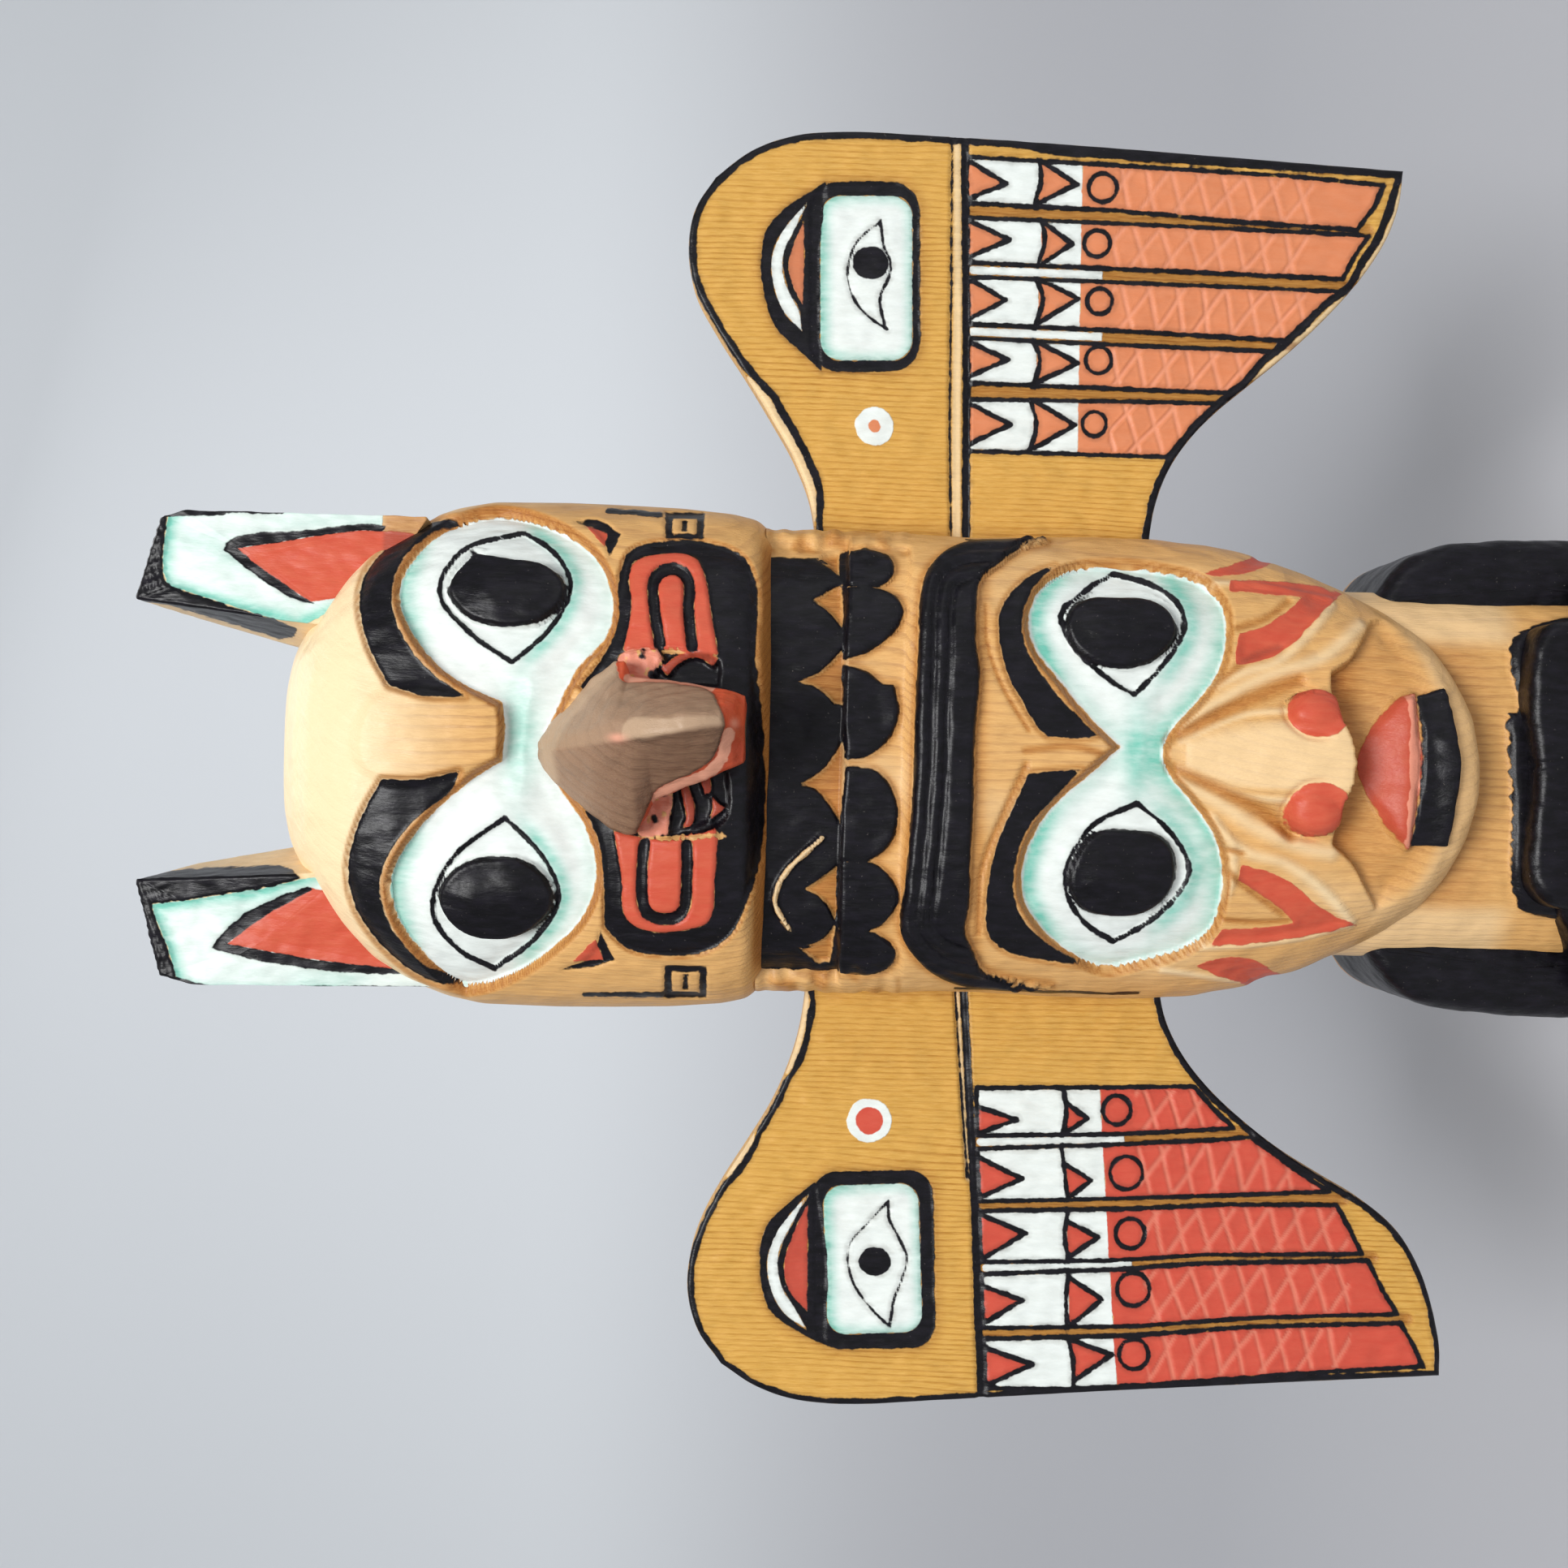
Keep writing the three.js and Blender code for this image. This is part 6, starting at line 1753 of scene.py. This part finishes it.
# A five-sided prong: the front face is the outline drawn out from its middle, the sides run
# straight back to the rear outline, and the rear face shrinks to its own middle.
def makeEar(e):
    front, rear = roundedFace(e["front"]), roundedFace(e["rear"])
    frontMiddle, rearMiddle = front.mean(axis=0), rear.mean(axis=0)
    faceRows, sideRows = earShape["faceRows"], earShape["sideRows"]
    out = (np.linspace(0.02, 1, faceRows) ** 0.8)[:, None, None]
    back = (np.concatenate([[0.012, 0.03], np.linspace(0.06, 1, sideRows - 2)]))[:, None, None]
    shrink = np.linspace(1, 0.05, earShape["rearRows"])[1:, None, None]
    points = np.concatenate([
        frontMiddle + (front - frontMiddle) * out,
        front + (rear - front) * back,
        rearMiddle + (rear - rearMiddle) * shrink,
    ])
    area = np.sum(front[:, 0] * np.roll(front[:, 2], -1) - np.roll(front[:, 0], -1) * front[:, 2])
    if area > 0:
        points = points[:, ::-1]
    x, y, z = points[..., 0], points[..., 1], points[..., 2]
    sheet = onSheet(x, y, z, earShape["sheet"])
    row = np.arange(len(points))[:, None]
    onFace = row <= faceRows
    onSide = (row > faceRows) & (row < faceRows + sideRows)
    normal = outward(points)
    inSide = onSide & (normal[..., 0] * e["side"] < -0.3)
    ragged = 0.16 * wander(sheet[0], sheet[1], 3.1, 2) + 0.12 * wander(sheet[0], sheet[1], 1.1, 5)
    field = np.where(onFace, within(sheet, np.array(e["field"], float)), far)
    sharp = [smoothRing([corner + (1,) for corner in e[key]]) for key in ("red", "spear")]
    red, spear = [np.where(onFace, within(sheet, ring), far) for ring in sharp]
    stripe = np.where(onFace | inSide, within(sheet, np.array(e["stripe"], float)) + ragged, far)
    outline = union(*[stroke(sheet, np.array(line, float), width) for line, width in e["outlines"]])
    spill = 1.3 - (row - faceRows) * 0.42 + 0.5 * wander(x, y + z, 1.6, 3)
    rim = np.where(onSide, common(spill, z - earShape["spillFrom"]), far)
    height = 0.10 * wander(x, z, 8, 1.2) + 0.05 * wander(x + y, z, 3.3, 4.2)
    relief = 0.45 * ease(stripe, -0.7, 0.6) - 0.15 * ease(spear, -0.3, 0.3) - 0.12 * ease(red, -0.3, 0.4)
    rough = 0.16 * ease(stripe, 0, 1) * wander(x, z, 1.3, 9) * ease(z, 292, 295)
    height = np.where(onFace, height + relief * ease(faceRows - row, 0, 4) + rough, height)
    points = points + normal * height[..., None]
    edge = 1 - ease(field, 0.0, 2.6)
    mint = 0.85 * edge * ease(z, 258, 272) + 0.3 * ease(wander(x, z * 0.5, 13, 4), -0.2, 0.9) + 0.12
    paint = {
        "white": field, "mint": np.clip(mint, 0, 1) * (field > -0.5), "red": red,
        "black": union(stripe, spear, np.where(onFace, outline, far), rim),
        "paleAndLit": np.clip(0.9 - 0.5 * ease(-z, -e["root"] - 4, -e["root"]), 0, 1),
        "stainAndShade": 0.7 * ease(-sheet[1], -e["root"] - 0.3, -e["root"] + 0.6) * onFace,
    }
    closedLoft(e["name"], points, paint, carvedWood)


for earPiece in earShape["pair"]:
    makeEar(earPiece)

# Body, arms, hands, legs and base.

body = {
    "trunk": [  # height, half width, depth in front, depth behind
        (9, 32.4, 19, 23), (40, 32.4, 19, 23), (60, 32.5, 19.2, 23), (80, 32.3, 19.2, 23),
        (100.5, 32.3, 19, 23),
    ],
    "blackTop": [
        (-24, 50), (-23.6, 58), (-22.2, 63.2), (-19, 65), (-5, 66), (6, 66.8), (10.6, 66.8),
        (10.8, 65.4), (18, 66.2), (22.6, 65.8), (25.2, 62.6), (26, 50),
    ],
    "arm": [
        (29, 86), (33.5, 84.4), (37.4, 81), (39.8, 76), (40.8, 70), (41, 44), (39.5, 38), (35, 34.5),
        (29, 34.5, 1),
    ],
    "forearm": [
        (12, 53), (13.5, 47.8), (22, 40.4), (30, 34.6), (36.5, 35), (40.2, 40), (39.6, 47),
        (31, 52.4), (20, 58.4), (13, 58),
    ],
    "hands": [
        (-21.5, 47.4), (2, 47), (25.5, 47.4), (25.9, 56), (25, 62.4), (21, 64.6), (11, 65.2), (2, 64),
        (-9, 64.4), (-18, 64), (-21.2, 61), (-21.8, 55),
    ],
    "fingers": 4,
    "ringSpacing": 0.6,
    "knee": [
        (17, 42.5), (24, 41), (27.4, 35), (27.8, 27), (26.5, 18), (24, 11.5), (17, 10.6), (10, 11.5),
        (7.6, 18), (6.4, 27), (6.8, 35), (10.2, 41),
    ],
    "foot": [
        (18, 20.2), (25, 19.4), (27.6, 16), (27.8, 11.8), (18, 11.2), (8.2, 11.8), (8.4, 16),
        (11, 19.4),
    ],
    "kneeEye": [
        (17, 39), (24.5, 36), (26, 29.5), (22, 22.6), (17, 19.6), (12, 22.6), (8.2, 29.5), (9.6, 36),
    ],
    "kneeRed": [
        (17, 35.6), (21.6, 33.8), (22.6, 29.8), (20.4, 26), (17, 24.2), (13.6, 26), (11.6, 29.8),
        (12.4, 33.8),
    ],
    "kneePupil": (17, 30.2, 2.2),
    "paintFrom": -15,  # the knees are painted in front of this depth
    "toeWidth": 4.25,
    "handLeft": -21.5,
    "handRight": 25.5,
    "baseStations": [
        (0, 43.2, 32.4, 23), (1.2, 44, 33, 23), (11.5, 44, 33, 23), (12.6, 43.4, 32.4, 22.7),
        (13, 42.6, 31.6, 22.4),
    ],
}


# A rounded slab: the outline is stepped inward over the front edge, shrunk to a middle point
# on a low dome, and carried straight back to a flat rear face.
def makeSlab(name, outline, front, back, rounding, dome, decorate):
    ring = smoothRing(outline, 9)
    length = np.concatenate([[0], np.cumsum(np.hypot(*np.diff(np.vstack([ring, ring[:1]]), axis=0).T))])
    closed = np.vstack([ring, ring[:1]])
    count = int(length[-1] / body["ringSpacing"])
    t = np.linspace(0, length[-1], count, endpoint=False)
    ring = np.column_stack([np.interp(t, length, closed[:, 0]), np.interp(t, length, closed[:, 1])])
    area = np.sum(ring[:, 0] * np.roll(ring[:, 1], -1) - np.roll(ring[:, 0], -1) * ring[:, 1])
    if area > 0:
        ring = ring[::-1]
    ahead = np.roll(ring, -2, axis=0) - np.roll(ring, 2, axis=0)
    inward = np.column_stack([ahead[:, 1], -ahead[:, 0]])
    inward /= np.linalg.norm(inward, axis=1, keepdims=True)
    centre = ring.mean(axis=0)
    rings, deep = [], []
    edge = ring + inward * rounding
    for s in np.linspace(0.03, 1, 40):
        rings.append(centre + (edge - centre) * s)
        deep.append(np.full(count, front - dome * (1 - s**2)))
    for a in np.linspace(0, math.pi / 2, 9)[1:]:
        rings.append(edge - inward * rounding * math.sin(a))
        deep.append(np.full(count, front + rounding * (1 - math.cos(a))))
    for y in np.linspace(front + rounding, back - 0.8, 14)[1:]:
        rings.append(ring)
        deep.append(np.full(count, y))
    rings += [ring + inward * 0.8, centre + (ring - centre) * 0.6, centre + (ring - centre) * 0.1]
    deep += [np.full(count, back)] * 3
    flat = np.array(rings)
    points = np.stack([flat[..., 0], np.array(deep), flat[..., 1]], axis=-1)
    normal = outward(points)
    height, paint = decorate(points)
    points = points + normal * height[..., None]
    closedLoft(name, points, paint, carvedWood)


# Black all over but for the hidden rear, with shallow brush waves.
def armPaint(points):
    x, y, z = points[..., 0], points[..., 1], points[..., 2]
    height = 0.14 * wander(y + x, z, 9, 1.1) + 0.06 * wander(y * 1.7 + x, z, 3.7, 2.7)
    hidden = ease(y, 8.6, 10.4)
    return height, {
        "black": (1.2 - 2.6 * hidden) + 0.3 * wander(x, z, 5, 1),
        "paleAndLit": np.full(x.shape, 0.3), "stainAndShade": 0.4 * hidden,
    }


# Black, with a groove where two fingers meet and a low swell for the knuckles; the wood in the grooves is darkened as
# painted shade, under the black.
def handPaint(points):
    x, y, z = points[..., 0], points[..., 1], points[..., 2]
    height = 0.12 * wander(x, z, 7, 3.4)
    width = (body["handRight"] - body["handLeft"]) / (2 * body["fingers"])
    k = (x - body["handLeft"]) / width
    gap = np.abs(k - np.round(k)) * width
    inner = (np.round(k) > 0.5) & (np.round(k) < 2 * body["fingers"] - 0.5)
    deep = np.where(np.round(k) == body["fingers"], 1.8, 0.9)
    low = np.where(np.round(k) == body["fingers"], 46, 52.5)
    cut = (1 - ease(gap, 0.1, 0.75)) * inner * ease(z, low, low + 1.5) * (1 - 0.8 * ease(z, 57, 60))
    knuckle = np.exp(-((z - 54.5) / 1.8) ** 2)
    front = ease(-y, 20, 23)
    height = height + (0.35 * knuckle * (1 - cut) - deep * cut) * front
    return height, {"black": np.full(x.shape, 1.5), "stainAndShade": 0.3 * cut}


# A bare knee with a painted eye: a black ring, red inside it, and a black spot.
def legPaint(side):
    def paint(points):
        x, y, z = points[..., 0] * side, points[..., 1], points[..., 2]
        height = 0.15 * wander(x, z, 8, 4 + side)
        sheet = (np.where(y < body["paintFrom"], x, offSheet), z)
        outer, inner = [within(sheet, smoothRing(body[key])) for key in ("kneeEye", "kneeRed")]
        spotX, spotZ, radius = body["kneePupil"]
        eyeSpot = radius - np.hypot(sheet[0] - spotX, sheet[1] - spotZ)
        height = height - 0.5 * ease(common(outer, -inner), -0.3, 0.4) + 0.4 * ease(eyeSpot, -0.3, 0.6)
        # The wood is darker round the eye's ring and towards the foot.
        return height, {
            "black": union(common(outer, -inner), eyeSpot), "red": common(inner, -eyeSpot),
            "paleAndLit": np.full(x.shape, 0.25),
            "stainAndShade": 0.5 * ease(-np.abs(outer + 0.5), -0.8, 0) + 0.3 * ease(-z, -18, -13),
        }

    return paint


# Bare wood with grooves between the toes, darkened as painted shade, and a thin black arc above them.
def footPaint(points):
    x, y, z = points[..., 0], points[..., 1], points[..., 2]
    k = (np.abs(x) - 9.5) / body["toeWidth"]
    gap = np.abs(k - np.round(k)) * body["toeWidth"]
    toes = (1 - ease(gap, 0.1, 0.8)) * (np.round(k) > 0.5) * (np.round(k) < 3.5) * ease(-y, 27.5, 29.5)
    return 0.1 * wander(x, z, 6, 2) - 0.9 * toes, {
        "black": np.where(y < -27.5, 0.45 - np.abs(18.6 - z - 0.12 * (np.abs(x) - 18) ** 2 * 0.2), far),
        "paleAndLit": np.full(x.shape, 0.3), "stainAndShade": 0.7 * toes,
    }


# The trunk: the ragged black block above the hands, its sides painted paler as painted light, and painted shade on the
# front under the man's chin.
def carveTrunk(sheet, base, front):
    x, z = np.where(front, base[..., 0], offSheet), base[..., 2]
    top = within((x, z), smoothRing(body["blackTop"]))
    rough = 0.5 * wander(x, z * 0.3, 1.7, 2) + 0.35 * wander(x, z * 0.2, 0.9, 6)
    block = common(top + rough * 0.5, np.where(front, 1.0, far))
    height = 0.14 * wander(x, z, 12, 5) * front + 0.06 * wander(x, z * 0.5, 4, 7) * front
    height = height + 1.3 * ease(top, -0.4, 0.8)
    # Painted light on the sides, which the light catches, and painted shade under the chin.
    flank = ease(np.abs(base[..., 0]), 20.5, 24) * ease(z, 62, 68)
    shade = 0.45 * (1 - flank) * ease(z, 64, 77) * front
    return height, {"black": block, "paleAndLit": 0.45 * flank + 0.2, "stainAndShade": shade}


# The base: a shallow black groove round it, and the wood darker towards the bottom.
def carveBase(sheet, base, front):
    x, y, z = base[..., 0], base[..., 1], base[..., 2]
    groove = np.exp(-((z - 9.4) / 0.45) ** 2)
    height = 0.10 * wander(x + y, z, 10, 6) - 0.5 * groove * (z > 2)
    stripe = 1.5 - np.abs(z - 9.4) * 3
    return height, {
        "black": stripe + 0.2 * wander(x, z, 8, 1),
        "paleAndLit": np.full(x.shape, 0.15),
        "stainAndShade": 0.3 * ease(-z, -5, 0),
    }


# The trunk and base are carved skins, and the limbs are rounded slabs, mirrored for the left.
def makeBody():
    z = np.arange(body["trunk"][0][0], body["trunk"][-1][0], 0.6)
    points, columns = skin(body["trunk"], z, 3.2, 0.6)
    moved, paint = carvedSkin(points, columns, carveTrunk, 0)
    closedLoft("trunk", moved, paint, carvedWood)
    for side, label in ((-1, "left"), (1, "right")):
        outlines = {key: body[key] for key in ("arm", "forearm", "knee", "foot")}
        if side < 0:
            outlines = {key: mirrorRing(ring) for key, ring in outlines.items()}
        makeSlab("arm_" + label, outlines["arm"], -13, 11.4, 3.2, 0.8, armPaint)
        makeSlab("forearm_" + label, outlines["forearm"], -22.4, -7, 2.6, 0.8, armPaint)
        makeSlab("leg_" + label, outlines["knee"], -28.4, -8, 3.4, 1.4, legPaint(side))
        makeSlab("foot_" + label, outlines["foot"], -31.4, -8, 2.0, 0.5, footPaint)
    makeSlab("hands", body["hands"], -25.2, -10, 2.0, 0.4, handPaint)
    heights = np.concatenate([[0, 0.35], np.arange(0.8, 12.9, 0.5), [13]])
    points, columns = skin(body["baseStations"], heights, 4, 0.8)
    moved, paint = carvedSkin(points, points.shape[1], carveBase, 0)
    closedLoft("base", moved, paint, carvedWood)


makeBody()

print("finished")
